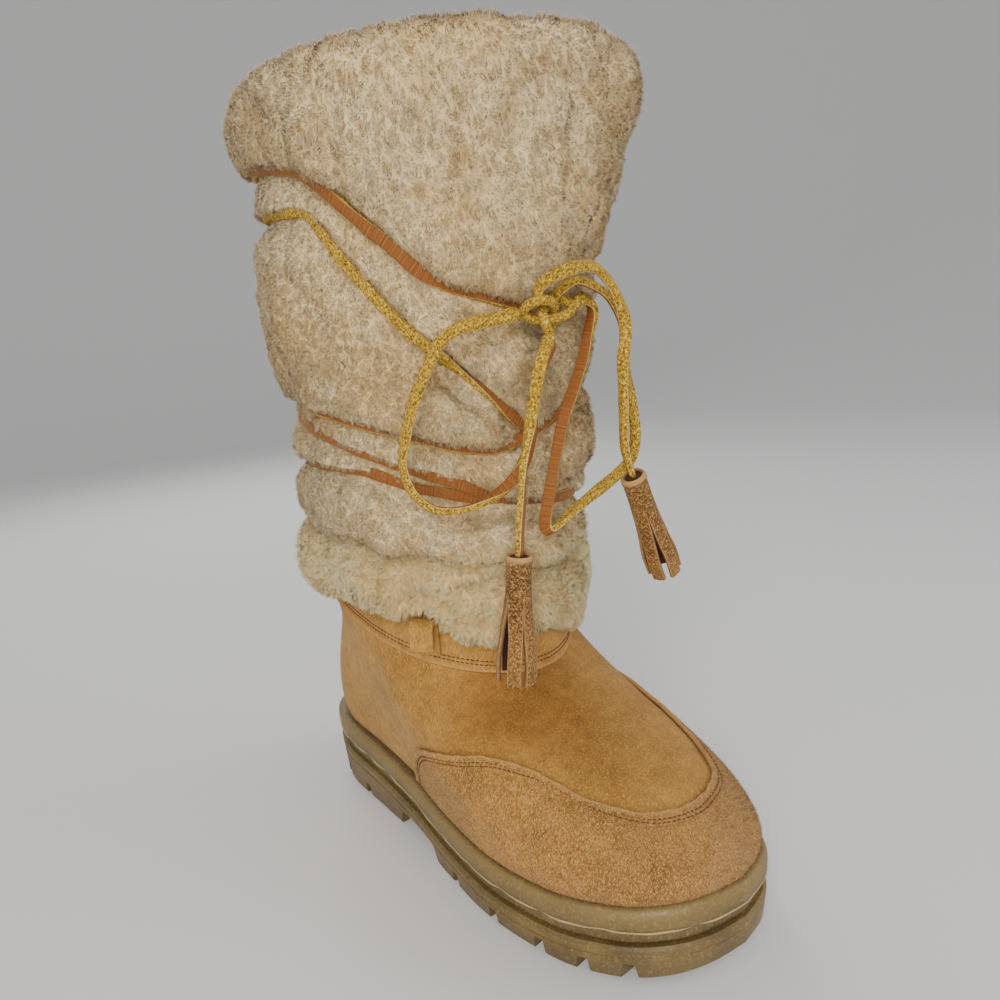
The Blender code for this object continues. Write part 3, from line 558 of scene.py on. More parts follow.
# %% The last as a function
def through(table, column, at):
    """A smooth curve through one column of a table, with no overshoot between its rows."""
    table = np.asarray(table, float)
    x, y = table[:, 0], table[:, column]
    step = np.diff(x)
    slope = np.diff(y) / step
    rising = slope[:-1] * slope[1:] > 0
    first, second = 2 * step[1:] + step[:-1], step[1:] + 2 * step[:-1]
    safe = np.where(rising, slope[:-1] * slope[1:], 1)
    tangent = np.zeros(len(x))
    mean = (first + second) * safe / (first * slope[1:] + second * slope[:-1] + (~rising))
    tangent[1:-1] = np.where(rising, mean, 0)
    tangent[0], tangent[-1] = slope[0], slope[-1]
    at = np.clip(np.asarray(at, float), x[0], x[-1])
    i = np.clip(np.searchsorted(x, at) - 1, 0, len(x) - 2)
    t = (at - x[i]) / step[i]
    return (
        (1 + 2 * t) * (1 - t) ** 2 * y[i]
        + t * (1 - t) ** 2 * step[i] * tangent[i]
        + t * t * (3 - 2 * t) * y[i + 1]
        + t * t * (t - 1) * step[i] * tangent[i + 1]
    )


def side_line(side):
    share = 0.5 - 0.5 * np.cos(np.linspace(0, pi, 1200))
    half = through(OUTLINE, 1 if side < 0 else 2, share) * BALL_WIDTH
    line = np.column_stack((side * half, HEEL_BACK - FOOT_LENGTH + share * FOOT_LENGTH))
    run = run_along(line)
    return run / run[-1], line, run[-1]


SIDES = {side: side_line(side) for side in (-1, 1)}
ROUND_THE_SOLE = SIDES[-1][2] + SIDES[1][2]


def outline(around):
    """Points of the sole's outline, for an array of shares of the way round."""
    around = np.asarray(around, float)
    around = np.where(around > 1, around - 2, np.where(around < -1, around + 2, around))
    points = np.empty((*around.shape, 2))
    for side in (-1, 1):
        here = around < 0 if side < 0 else around >= 0
        share, line, _ = SIDES[side]
        for axis in (0, 1):
            points[..., axis][here] = np.interp(np.abs(around[here]), share, line[:, axis])
    return points


def outward(around):
    along = outline(np.asarray(around) + 0.012) - outline(np.asarray(around) - 0.012)
    return unit(np.stack((along[..., 1], -along[..., 0]), axis=-1))


def length_share(y):
    return (y - (HEEL_BACK - FOOT_LENGTH)) / FOOT_LENGTH


def sole_top(y):
    share = length_share(y)
    step = HEEL_HEIGHT - FORE_HEIGHT
    return FORE_HEIGHT + TOE_SPRING * through(SOLE_LINE, 1, share) + step * through(SOLE_LINE, 2, share)


def ground(y):
    return TOE_SPRING * through(GROUND_LINE, 1, length_share(y))


def oval(around, size):
    angle = pi * np.asarray(around, float)
    y = size["centre"] - size["length"] / 2 * np.cos(angle)
    height = size["height"] + size["lean"] * (y - size["centre"])
    return np.stack((size["width"] / 2 * np.sin(angle), y, height), axis=-1)


def bare_upper(around, row):
    """Points of the upper's face before any crease, for arrays of shares round and of rows."""
    around, row = np.broadcast_arrays(np.asarray(around, float), np.asarray(row, float))
    base, normal = outline(around), outward(around)
    front, back = np.maximum(np.cos(pi * around), 0), np.maximum(-np.cos(pi * around), 0)
    rise = SIDE_RISE + (TOE_BOX_RISE - SIDE_RISE) * front**1.5 + (HEEL_RISE - SIDE_RISE) * back
    reach = SIDE_REACH + (INSTEP_REACH - SIDE_REACH) * front**1.5
    slope = np.radians(90 - (90 - INSTEP_SLOPE) * front)
    start = np.concatenate((base, (sole_top(base[..., 1]) + GAP)[..., None]), axis=-1)
    seam = oval(around, ANKLE)
    first = start + np.concatenate((normal * BULGE, rise[..., None]), axis=-1)
    flat = np.cos(slope)
    down = np.stack((np.sin(pi * around) * flat, -np.cos(pi * around) * flat, -np.sin(slope)), axis=-1)
    second = seam + reach[..., None] * down
    t = np.minimum(row, 1)[..., None]
    foot = (1 - t) ** 3 * start + 3 * (1 - t) ** 2 * t * first + 3 * (1 - t) * t**2 * second + t**3 * seam
    leg = seam * (2 - row[..., None]) + oval(around, COLLAR) * (row[..., None] - 1)
    return np.where(row[..., None] > 1, leg, foot)


def across(place, around, row):
    """Unit normals of a face given by a function of round and row, pointing out of the boot."""
    step = 0.006
    along = place(around + step, row) - place(around - step, row)
    up = place(around, np.minimum(row + step, 2)) - place(around, np.maximum(row - step, 0))
    return unit(np.cross(along, up))


check = np.linspace(-0.9, 0.9, 7)
tree = BVHTree.FromObject(frame["nodes"]["upper"], bpy.context.evaluated_depsgraph_get())
off = [tree.find_nearest(Vector(point))[3] for point in bare_upper(check, 0.5)]
print("last to the frame's upper, worst mm:", round(max(off) / MM, 2))

# %% [markdown]
# ## The foot
#
# The upper is laid over the last as one fine sheet and given its wall by a solidify modifier. Creases are
# short lines on the last, each with a width and a depth in millimetres: below zero it is a soft trough,
# above zero a ridge. A slow wave keeps the leather from looking cast. The toe cap and the ankle band are
# sheets over the same creased form, a leather's thickness higher. Near a cut edge they curl up a little,
# and they are drawn in along their stitches. The stitches themselves are short threads that dive into the
# leather at both ends.

# %% Creases: from round and row, to round and row, width and depth in millimetres
CREASES = (
    (-0.215, 0.86, -0.150, 0.91, 9, -1.5), (-0.105, 0.88, -0.085, 0.76, 14, -1.7),
    (-0.165, 0.80, -0.13, 0.70, 12, 0.9), (-0.03, 0.93, 0.06, 0.90, 10, 0.8),
    (0.11, 0.95, 0.19, 0.90, 7, -1.2), (-0.50, 0.90, -0.62, 0.75, 13, -1.3),
    (-0.42, 0.80, -0.50, 0.55, 15, 1.0), (-0.72, 0.70, -0.80, 0.55, 10, -1.1),
    (0.45, 0.85, 0.58, 0.70, 12, -1.3), (0.30, 0.72, 0.22, 0.60, 12, -0.9),
    (-0.30, 0.90, -0.40, 0.93, 7, -0.9), (0.72, 0.6, 0.85, 0.7, 10, -1.0),
)
CAP_EDGE = (
    (-0.600, -0.05), (-0.560, 0.14), (-0.490, 0.33), (-0.400, 0.49), (-0.300, 0.60), (-0.225, 0.65),
    (-0.175, 0.63), (-0.110, 0.49), (-0.060, 0.42), (0.000, 0.40), (0.060, 0.41), (0.110, 0.47),
    (0.180, 0.58), (0.270, 0.62), (0.370, 0.54), (0.460, 0.36), (0.520, 0.16), (0.555, -0.05),
)
# Round, row, radius in millimetres, strength.
DAMP_SPOTS = (
    (-0.18, 0.885, 17, 0.9), (-0.085, 0.82, 25, 1.0), (-0.02, 0.95, 20, 0.5), (-0.30, 0.72, 22, 0.35),
)
STITCH_ROWS = (3.4 * MM, 5.3 * MM)
STITCH_PITCH = 2.2 * MM
THREAD_LENGTH = 1.75 * MM
THREAD_THICK = 0.62 * MM
THREAD_SUNK = 0.38 * MM
CURL = 0.45 * MM
CURL_REACH = 1.3 * MM
DRAWN_IN = 0.5 * MM
RAGGED = 0.12 * MM
SLOW_WAVE = 60 * MM
SLOW_DEPTH = 0.45
# How far the cap's ends stay from the ends of its edge, and the lowest row that its edge reaches.
CAP_ENDS = 0.012
LOWEST_ROW = 0.02
EDGE_POINTS = 1200


def wave_field(points, size, seed, count=10):
    """Smooth random values, about -1 to 1, in waves of about this size: three columns, one for each axis."""
    rng = np.random.default_rng(seed)
    value = np.zeros((len(points), 3))
    for _ in range(count):
        waves = rng.normal(0, 1, 3)
        waves *= rng.uniform(0.6, 1.5) * 2 * pi / size / np.linalg.norm(waves)
        value += np.sin(points @ waves + rng.uniform(0, 2 * pi))[:, None] * rng.normal(0, 1, 3)
    return value / count**0.5


def to_line(points, start, end):
    """Distance of each point from a straight piece of line."""
    along = end - start
    share = np.clip(((points - start) @ along) / max(along @ along, 1e-12), 0, 1)
    return np.linalg.norm(points - start - share[..., None] * along, axis=-1)


def creased(around, row):
    """The upper's face with its creases."""
    around, row = np.broadcast_arrays(np.asarray(around, float), np.asarray(row, float))
    points = bare_upper(around, row)
    depth = wave_field(points.reshape(-1, 3), SLOW_WAVE, 11, 8)[:, 0].reshape(points.shape[:-1]) * SLOW_DEPTH
    for a0, r0, a1, r1, width, deep in CREASES:
        apart = to_line(points, bare_upper(a0, r0), bare_upper(a1, r1))
        depth = depth + deep * near(apart, width * MM)
    kept = ramp(row, 0.15) * ramp(np.abs(row - 1), 0.1)
    return points + across(bare_upper, around, row) * (depth * kept * MM)[..., None]


def with_wall(sheet, wall):
    """Thickens a sheet inwards."""
    solid = sheet.modifiers.new("wall", "SOLIDIFY")
    solid.thickness = wall
    solid.offset = -1
    apply_modifiers(sheet)


# %% The upper
def upper_face(u, v):
    return creased(2 * u - 1, v * 1.95)


upper = lay_sheet("upper_leather", 250, 76, upper_face, closed=True)
at = places(upper)
damp = np.zeros(len(at))
for around, row, radius, strength in DAMP_SPOTS:
    damp += strength * near(np.linalg.norm(at - bare_upper(around, row), axis=1), radius * MM)
mark(upper, "damp", damp)
low = 1 - ramp(at[:, 2] - sole_top(at[:, 1]), 7 * MM)
mark(upper, "worn", low * 0.5)
with_wall(upper, UPPER_WALL)


# %% Overlays: the ankle band and the toe cap
def overlay(name, columns, rows, place, edge_line, rough):
    """A sheet over the creased upper with one raw edge, given as a line of points."""
    tree = tree_of(edge_line)
    found = {}

    def lifted(u, v):
        around, row = place(u, v)
        base = creased(around, row)
        out = across(creased, around, np.where(row >= 1, np.maximum(row, 1.03), row))
        far = np.array([tree.find(point)[2] for point in base])
        curl = CURL * near(far, CURL_REACH) * rough
        drawn = sum(-DRAWN_IN * near(far - row_at, 0.8 * MM) for row_at in STITCH_ROWS)
        ragged = wave_field(base, 4 * MM, 31, 8)[:, 0] * RAGGED * np.exp(-far / (2 * MM))
        found["far"] = far
        return base + out * (OVERLAY_GAP + OVERLAY + curl + drawn + ragged)[:, None]

    sheet = lay_sheet(name, columns, rows, lifted)
    mark(sheet, "edge", np.clip(1.2 - found["far"] / CURL_REACH, 0, 1) * 0.5)
    return sheet


def tree_of(points):
    tree = KDTree(len(points))
    for i, point in enumerate(points):
        tree.insert(point, i)
    tree.balance()
    return tree


def cap_top(around):
    return np.maximum(through(CAP_EDGE, 1, around), LOWEST_ROW)


def cap_place(u, v):
    around = CAP_EDGE[0][0] + CAP_ENDS + u * (CAP_EDGE[-1][0] - CAP_EDGE[0][0] - 2 * CAP_ENDS)
    top = cap_top(around) + 0.004 * np.sin(around * 190) * np.sin(around * 61)
    return around, top * (1 - (1 - v) ** 1.35)


def band_place(u, v):
    return 2 * u - 1, 1 + 0.85 * v**1.3


seam_steps = np.linspace(-1, 1, EDGE_POINTS)
band_line = creased(seam_steps, 1.0)
cap_steps = np.linspace(CAP_EDGE[0][0] + CAP_ENDS, CAP_EDGE[-1][0] - CAP_ENDS, EDGE_POINTS)
cap_line = creased(cap_steps, cap_top(cap_steps))
band = overlay("ankle_band_leather", 240, 34, band_place, band_line, 1.0)
with_wall(band, OVERLAY)
cap = overlay("toe_cap_leather", 200, 56, cap_place, cap_line, 0.8)
at = places(cap)
WORN_TIP = bare_upper(0.04, 0.12)
low = 1 - ramp(at[:, 2] - sole_top(at[:, 1]), 12 * MM)
mark(cap, "worn", near(np.linalg.norm(at - WORN_TIP, axis=1), 46 * MM) + 0.45 * low + 0.05)
with_wall(cap, OVERLAY)


# %% Stitches
def stitch_line(around, row, up, inset):
    """Evenly spaced places on an overlay's face, set in from its edge, with the way along and the way out."""
    step = 0.01
    stretch = np.linalg.norm(bare_upper(around, row + up * step) - bare_upper(around, row), axis=-1) / step
    row = row + up * inset / stretch
    out = across(creased, around, row)
    line = creased(around, row) + out * (OVERLAY_GAP + OVERLAY - THREAD_SUNK)
    run = run_along(line)
    steps = np.arange(STITCH_PITCH, run[-1] - STITCH_PITCH, STITCH_PITCH)
    centre = at_steps(steps, run, line)
    return centre, np.gradient(centre, axis=0), at_steps(steps, run, out)


def threads(name, centre, along, out):
    """Stitches as one mesh: each is a short six-sided thread that dives in at both ends."""
    rng = np.random.default_rng(5)
    along = along + rng.normal(0, 0.05, along.shape) * np.linalg.norm(along, axis=1, keepdims=True)
    along = unit(along)
    out = unit(out - along * (out * along).sum(axis=1, keepdims=True))
    side = np.cross(along, out)
    rings = ((-0.5, -0.5, 0.55), (-0.38, 0.0, 0.95), (0.0, 0.22, 1.0), (0.38, 0.0, 0.95), (0.5, -0.5, 0.55))
    points = []
    for run, rise, wide in rings:
        for k in range(6):
            radius = THREAD_THICK / 2 * wide
            lift = rise * THREAD_THICK + sin(k * pi / 3) * radius
            points.append(centre + along * run * THREAD_LENGTH + out * lift + side * cos(k * pi / 3) * radius)
    points = np.stack(points, axis=1).reshape(-1, 3)
    faces = []
    for i in range(len(centre)):
        for ring in range(4):
            for k in range(6):
                a, b = i * 30 + ring * 6 + k, i * 30 + ring * 6 + (k + 1) % 6
                faces.append((a, a + 6, b + 6, b))
    mesh = bpy.data.meshes.new(name)
    mesh.from_pydata(points.tolist(), [], faces)
    obj = linked(name, mesh)
    turn_outwards(obj, fill=True)
    select_only(obj)
    bpy.ops.object.shade_smooth()
    return obj


stitches = {}
for name, steps, row, up in (
    ("cap_stitches", cap_steps, cap_top(cap_steps), -1),
    ("band_stitches", seam_steps, np.ones(EDGE_POINTS), 1),
):
    lines = [stitch_line(steps, row, up, inset) for inset in STITCH_ROWS]
    stitches[name] = threads(name, *[np.vstack(parts) for parts in zip(*lines)])
    print(name, "stitches:", sum(len(line[0]) for line in lines))

# %% [markdown]
# ## The thongs
#
# The bow's two loops and two ends hang free in front of the fur, on routes taken from the photo. A
# thong is a rolled sheet: its section is a rounded rectangle that is carried along the route without
# turning of its own, and then twisted by a few degrees a centimetre, as a hanging lace is. The twist table
# says how far the section has turned at each share of the length, so the russet skin side comes to the
# front where the photo shows it.

# %% Routes of the free thongs, in millimetres
LACE_THICK = 3.0 * MM
THONG_WIDTH = 4.5 * MM
WRAP_THICK = 2.6 * MM
LOOP_LEFT = (
    (-18.6, -57.5, 258), (-26, -56, 257), (-35, -53, 256), (-41, -51, 255), (-47, -47, 251),
    (-51, -42, 242), (-55, -37, 231), (-58, -34, 220), (-59, -31, 209), (-57, -32, 199), (-52, -36, 192),
    (-45, -40, 190), (-38, -45, 191), (-31, -49, 194), (-25, -52, 198), (-19, -54, 205), (-15, -55, 215),
    (-11, -55, 232), (-2.5, -57, 247),
)
LOOP_RIGHT = (
    (8, -58, 259), (15, -56, 261), (21, -55, 257), (18, -55, 248), (13, -56, 238), (5, -58, 228),
    (-2, -60, 220), (-9, -61, 205), (-15, -62, 190), (-18, -63, 182), (-17, -64, 179), (-13, -64, 180),
    (-4, -64, 184), (12, -63, 189), (27, -62, 194), (36, -61, 199), (39, -60, 208), (37, -60, 220),
    (34, -60, 232), (33, -60, 244), (31, -60, 253), (23, -60, 262), (10, -59, 267), (3, -58, 265),
    (-2.5, -56, 261),
)
END_LEFT = (
    (-7, -59.3, 250.7), (-8, -59.8, 247.5), (-16, -64, 241), (-21, -65, 230), (-24, -64, 218),
    (-27, -63, 206), (-28, -62, 195), (-29, -61, 184), (-30, -61, 176), (-31, -61, 171),
)
END_RIGHT = (
    (-9.5, -57.2, 260.8), (-11, -60.5, 266), (-6, -67, 270), (6, -69, 271), (15, -69, 266), (21, -69, 258),
    (24, -69, 249), (22, -69, 236), (22, -69, 222), (22, -69, 207), (24, -69, 199), (27, -69, 192),
)


# %% A thong along a route
def smooth_route(route, spacing=1.2 * MM):
    """Points at even steps along a smooth curve through a route given in metres."""
    knots = np.asarray(route, float)
    padded = np.vstack((2 * knots[0] - knots[1], knots, 2 * knots[-1] - knots[-2]))
    fine = []
    for p0, p1, p2, p3 in zip(padded, padded[1:], padded[2:], padded[3:]):
        t = np.linspace(0, 1, 16, endpoint=False)[:, None]
        bend = (2 * p0 - 5 * p1 + 4 * p2 - p3) * t**2 + (3 * p1 - p0 - 3 * p2 + p3) * t**3
        fine.append(0.5 * (2 * p1 + (p2 - p0) * t + bend))
    fine = np.vstack((*fine, knots[-1:]))
    run = run_along(fine)
    return at_steps(np.linspace(0, run[-1], int(run[-1] / spacing) + 1), run, fine)


def carried_frames(path, first):
    """Tangents, and normals carried along a path from a first normal without turning about it."""
    tangent = unit(np.gradient(path, axis=0))
    normal = np.empty_like(path)
    now = np.asarray(first, float)
    for i, along in enumerate(tangent):
        now = now - along * (now @ along)
        now = now / np.linalg.norm(now)
        normal[i] = now
    return tangent, normal


def rounded(u, width, thick, square=0.45):
    """Section of a thong: across and out, for shares round it. Its broad face comes before the skin side."""
    angle = 2 * pi * u
    x, y = np.cos(angle), np.sin(angle)
    return width / 2 * np.sign(x) * np.abs(x) ** square, thick / 2 * np.sign(y) * np.abs(y) ** square


def thong(name, path, twist, normals=None, first=(0, -1, 0), thick=LACE_THICK, sides=20):
    """A flat thong along a path, with its own uneven cut and a twist in degrees by share of its length."""
    path = np.asarray(path, float)
    tangent, carried = carried_frames(path, first)
    if normals is not None:
        carried = unit(normals - tangent * (normals * tangent).sum(axis=1, keepdims=True))
    count = len(path)
    share = np.linspace(0, 1, count)
    angle = np.radians(through(twist, 1, share))[:, None]
    side = np.cross(tangent, carried)
    out = carried * np.cos(angle) + side * np.sin(angle)
    beside = np.cross(tangent, out)
    length = np.linalg.norm(np.diff(path, axis=0), axis=1).sum()
    uneven = 1 + 0.05 * np.sin(share * length / (7 * MM)) + 0.04 * np.sin(share * length / (2.7 * MM) + 1)
    uneven *= 0.4 + 0.6 * np.sqrt(np.clip(np.minimum(share, 1 - share) * length / (2.2 * MM), 0, 1))

    def place(u, v):
        i = np.rint(v * (count - 1)).astype(int)
        x, y = rounded(u, THONG_WIDTH, thick)
        return path[i] + beside[i] * (x * uneven[i])[:, None] + out[i] * (y * uneven[i])[:, None]

    piece = lay_sheet(name, sides, count - 1, place, closed=True, caps=True)
    layer = piece.data.uv_layers[0].data
    flat = numbers(layer, "uv", 2) * (1, length / (10 * MM))
    layer.foreach_set("uv", flat.ravel())
    return piece, length


# Each thong's route, the way that its section first looks out, and its twist table.
FREE_THONGS = {
    "bow_loop_left": (
        LOOP_LEFT, (-0.3, -0.6, 0.6),
        ((0, 0), (0.45, 25), (0.62, 40), (0.75, 150), (0.86, 190), (1, 200)),
    ),
    "bow_loop_right": (
        LOOP_RIGHT, (0, -1, 0.2),
        ((0, 0), (0.12, -90), (0.35, -110), (0.44, -60), (0.6, 0), (0.8, 60), (1, 120)),
    ),
    "lace_end_left": (END_LEFT, (0, -1, 0), ((0, 15), (0.3, 60), (0.6, 130), (1, 150))),
    "lace_end_right": (END_RIGHT, (0, -0.6, 0.8), ((0, 170), (0.4, 205), (0.65, 330), (1, 360))),
}
free = {}
for name, (route, first, twist) in FREE_THONGS.items():
    path = smooth_route(np.array(route) * MM)
    free[name] = (*thong(name + "_thong", path, twist, first=first), path)
    print(name, "length mm:", round(free[name][1] / MM))

# %% [markdown]
# ## Laces round the leg
#
# The same lace comes from the tab at the hem and climbs the leg in two halves that cross in front. Each
# half is a short table of turns from the front and heights. At each step a ray from outside finds the fur,
# and the thong lies just on it. The fur is then combed away from the thong, so that it sinks into its
# furrow.

# %% Routes round the leg: turns from the front in degrees, heights in millimetres
WRAP_A = (
    (0, 257), (12, 261), (43, 272), (57, 286), (84, 311), (120, 318), (180, 318), (215, 303),
    (270, 262), (330, 228), (360, 214), (380, 209), (418, 219), (448, 227), (540, 241),
    (600, 222), (660, 203), (700, 190), (720, 186), (769, 195), (798, 204), (900, 206),
    (960, 186), (1020, 170), (1068, 159), (1100, 156), (1120, 153), (1132, 149),
)
WRAP_B = (
    (0, 255), (30, 268), (60, 285), (95, 300), (140, 304), (180, 303), (225, 302), (275, 299),
    (290, 281), (307, 258), (335, 232), (360, 215), (390, 222), (450, 238), (540, 231),
    (610, 222), (640, 214), (680, 198), (720, 184), (750, 182), (810, 178), (900, 184),
    (987, 177), (1007, 173), (1039, 167), (1057, 164), (1070, 163),
)
# Share of the length, and degrees that the thong has rolled: at 180 its skin side looks out.
ROLL_OVER = {
    "wrap_a": ((0, 215), (0.08, 160), (0.16, 215), (0.3, 200), (0.45, 225), (0.6, 150), (0.8, 215), (1, 190)),
    "wrap_b": ((0, 215), (0.2, 200), (0.255, 20), (0.31, 40), (0.36, 200), (0.55, 150), (0.8, 215), (1, 200)),
}
TOP_HEIGHT = 340 * MM
SHAFT_WIDTH = 124 * MM
SHAFT_DEPTH = 160 * MM
SHAFT_CENTRE = 37 * MM
LACE_SUNK = 2.6 * MM
FROM_OUTSIDE = 200 * MM
ENDS_SUNK = 4.5 * MM
# Degrees over which the last of each half goes under the fur.
TAILS = {1: 50, -1: 8}
# Share of the leg's height, forward lean of the section's centre as a share of the depth.
SHAFT_LEAN = ((0.0, 0.0), (0.12, 0.02), (0.35, 0.06), (0.6, 0.09), (0.8, 0.12), (1.0, 0.16))
fur_tree = BVHTree.FromObject(frame["nodes"]["shaft"], bpy.context.evaluated_depsgraph_get())


def leg_centre(height):
    share = np.clip((height - ANKLE["height"]) / (TOP_HEIGHT - ANKLE["height"]), 0, 1)
    return SHAFT_CENTRE - SHAFT_DEPTH * through(SHAFT_LEAN, 1, share)


def on_fur(turn, height):
    """The fur's face at a turn from the front, in radians towards the outer side, and the way out of it."""
    centre = Vector((0, float(leg_centre(height)), height))
    way = Vector((-sin(turn) * SHAFT_WIDTH, -cos(turn) * SHAFT_DEPTH, 0)).normalized()
    reach = 0
    for aside in (-5, 0, 5):
        looking = Matrix.Rotation(radians(aside), 3, "Z") @ way
        for lift in (-2.5 * MM, 0, 2.5 * MM):
            hit = fur_tree.ray_cast(centre + Vector((0, 0, lift)) + looking * FROM_OUTSIDE, -looking)[3]
            if hit is not None:
                reach = max(reach, (FROM_OUTSIDE - hit) * cos(radians(aside)))
    return np.array(centre + way * reach), np.array(way)


def wrap_path(table, direction, lift):
    """Centres of a wrap's sections on the fur, and the ways out of it."""
    turns = np.arange(table[0][0], table[-1][0], 2.5)
    heights = through(table, 1, turns) * MM
    met = [on_fur(radians(turn) * direction, height) for turn, height in zip(turns, heights)]
    reach, ways = (np.array(column) for column in zip(*met))
    kernel = np.array((1, 2, 3, 2, 1)) / 9
    padded = np.vstack((reach[:1], reach[:1], reach, reach[-1:], reach[-1:]))
    smooth = np.stack([np.convolve(column, kernel, "valid") for column in padded.T], axis=1)
    smooth[:, 2] = heights
    to_end = np.minimum((turns - turns[0]) / 10, (turns[-1] - turns) / TAILS[direction])
    return smooth + ways * (lift - ENDS_SUNK * np.clip(1 - to_end, 0, 1))[:, None], ways


wraps = []
for name, table, direction in (("wrap_a", WRAP_A, 1), ("wrap_b", WRAP_B, -1)):
    path, ways = wrap_path(table, direction, LACE_THICK / 2 - LACE_SUNK)
    fine = smooth_route(path, 1.6 * MM)
    out = at_steps(np.linspace(0, 1, len(fine)), np.linspace(0, 1, len(path)), ways)
    piece, length = thong(name, fine, ROLL_OVER[name], normals=out, thick=WRAP_THICK, sides=16)
    wraps.append((piece, fine))
    print(name, "length mm:", round(length / MM))
lace_lines = np.vstack([line for _, line in wraps])


# %% [markdown]
# ## The sole
#
# The sole unit is moulded in three steps that all follow the outline: a smooth rounded rand that grips the
# upper, a recessed band of fine upright ribs, and the tread. The rand and the band are sheets rolled into
# closed rings, with their profile given by how far out and how far down each step lies. Between them runs
# the pale ragged line of the mould's parting. The tread is a ring with flat ends, and its grooves, channels
# and arch are cut by boxes.

# %% Sizes of the sole
WELT_HEIGHT = 11 * MM
WELT_STANDOUT = 6 * MM
MIDSOLE_HEIGHT = 7 * MM
MIDSOLE_STANDOUT = 4.2 * MM
RIB_DEPTH = 0.6 * MM
RIB_PITCH = 1.7 * MM
OUTSOLE_STANDOUT = 6.2 * MM
LUG_HEIGHT = 8.5 * MM
LUG_GAP = 4.5 * MM
LUG_GAP_FLARE = 2.5 * MM
CHANNEL_WIDTH = 13 * MM
CHANNEL_DEPTH = 5 * MM
ARCH_RISE = 11 * MM
ARCH_LENGTH = 0.13 * FOOT_LENGTH
ARCH_FLARE = 0.035 * FOOT_LENGTH
CUT_FROM = -10 * MM
# Shares of the length from the toe: the arch, the grooves with their turns in degrees, the channels' ends.
ARCH_AT = 0.58
GROOVES = ((0.07, 0), (0.155, 7), (0.24, 9), (0.33, 5), (0.42, -3), (0.81, 4), (0.90, -3))
CHANNELS = ((0.11, 0.47), (0.70, 0.93))


# %% Rings round the sole
def sole_point(around, standout, drop):
    """Points so far outside the outline and so far below the line where the upper starts."""
    base, way = outline(around), outward(around)
    level = base + way * np.asarray(standout)[..., None]
    return np.concatenate((level, (sole_top(base[..., 1]) - drop)[..., None]), axis=-1)


def profile_ring(name, columns, rows, profile, extra=None):
    """A closed ring with a profile of (out, down) steps; extra moves its points in or out."""
    profile = np.array(profile + profile[:1], float)
    run = run_along(profile)

    def place(u, v):
        around = 1 - 2 * u
        standout = np.interp(v * run[-1], run, profile[:, 0])
        drop = np.interp(v * run[-1], run, profile[:, 1])
        if extra:
            standout = standout + extra(u, standout, drop)
        return sole_point(around, standout, drop)

    ring = lay_sheet(name, columns, rows, place, closed=True)
    turn_outwards(ring)
    return ring


# Shares of how far the rand stands out and of its height. Under the upper it ends with a flat back.
RAND_SHARES = (
    (0.50, 0.0), (0.72, 0.05), (0.88, 0.16), (0.97, 0.32), (1.0, 0.5), (1.0, 0.68), (0.95, 0.8),
    (0.98, 0.86), (0.96, 0.93), (0.8, 1.0),
)
RAND_BACK = -2.5 * MM
rand_profile = [(out * WELT_STANDOUT, down * WELT_HEIGHT) for out, down in RAND_SHARES]
rand_profile = [(RAND_BACK, 0.1 * MM), *rand_profile, (RAND_BACK, WELT_HEIGHT)]
rand = profile_ring("rand", 440, 30, rand_profile)
at = places(rand)
down = (sole_top(at[:, 1]) - at[:, 2]) / WELT_HEIGHT
mark(rand, "rim", 1 - down * 1.1)
# The rand's top edge under the upper and its bottom edge are marked dark as a painted shadow line.
mark(rand, "dirt_and_shade", (1 - ramp(down, 0.08)) * 0.9 + ramp(down - 0.9, 0.1) * 0.7)


RIBS = round(ROUND_THE_SOLE / RIB_PITCH)


def ribs(u, standout, drop):
    """Fine upright ribs on the outer face only."""
    wave = np.abs((u * RIBS) % 1 * 2 - 1)
    return -RIB_DEPTH * wave * (standout > MIDSOLE_STANDOUT * 0.9)


top, low = WELT_HEIGHT + GAP, WELT_HEIGHT + GAP + MIDSOLE_HEIGHT
band_out = MIDSOLE_STANDOUT
band_profile = [
    (0.0, top), (band_out * 0.7, top), (band_out * 0.8, top + 0.7 * MM), (band_out, top + 0.9 * MM),
    (band_out, low - 1.0 * MM), (band_out * 0.75, low - 0.8 * MM), (band_out * 0.7, low), (0.0, low),
]
ribbed_band = profile_ring("ribbed_band", RIBS * 3, 14, band_profile, ribs)
mark(ribbed_band, "dirt_and_shade", np.full(len(ribbed_band.data.vertices), 0.35))


# %% Parting line: a thin ragged bead between the rand and the ribs
def bead(u, v):
    angle = 2 * pi * v
    along = u * ROUND_THE_SOLE
    scallop = np.abs(np.sin(along / (8.5 * MM) + 0.6 * np.sin(along / (23 * MM))))
    ragged = 0.8 * scallop + 0.12 * np.sin(along / (1.9 * MM)) - 0.5
    thick = 0.5 * MM * (0.55 + 0.6 * scallop + 0.25 * np.sin(along / (3.1 * MM)))
    out = WELT_STANDOUT * 0.93 + thick * np.cos(angle)
    return sole_point(1 - 2 * u, out, WELT_HEIGHT * 0.95 + ragged * MM + thick * np.sin(angle))


parting = lay_sheet("parting_line", 700, 6, bead, closed=True)

# %% Tread
top = WELT_HEIGHT + MIDSOLE_HEIGHT + 2 * GAP
# Share of the standout, then millimetres below the ribbed band, or else millimetres above the ground.
TREAD_STEPS = (
    (0.4, None, 0.0), (0.75, None, 0.5), (0.9, None, 2.0), (0.98, 6.0, None), (0.86, 5.4, None),
    (0.86, 4.9, None), (1.0, 4.4, None), (1.0, 1.2, None), (0.8, 0.0, None),
)


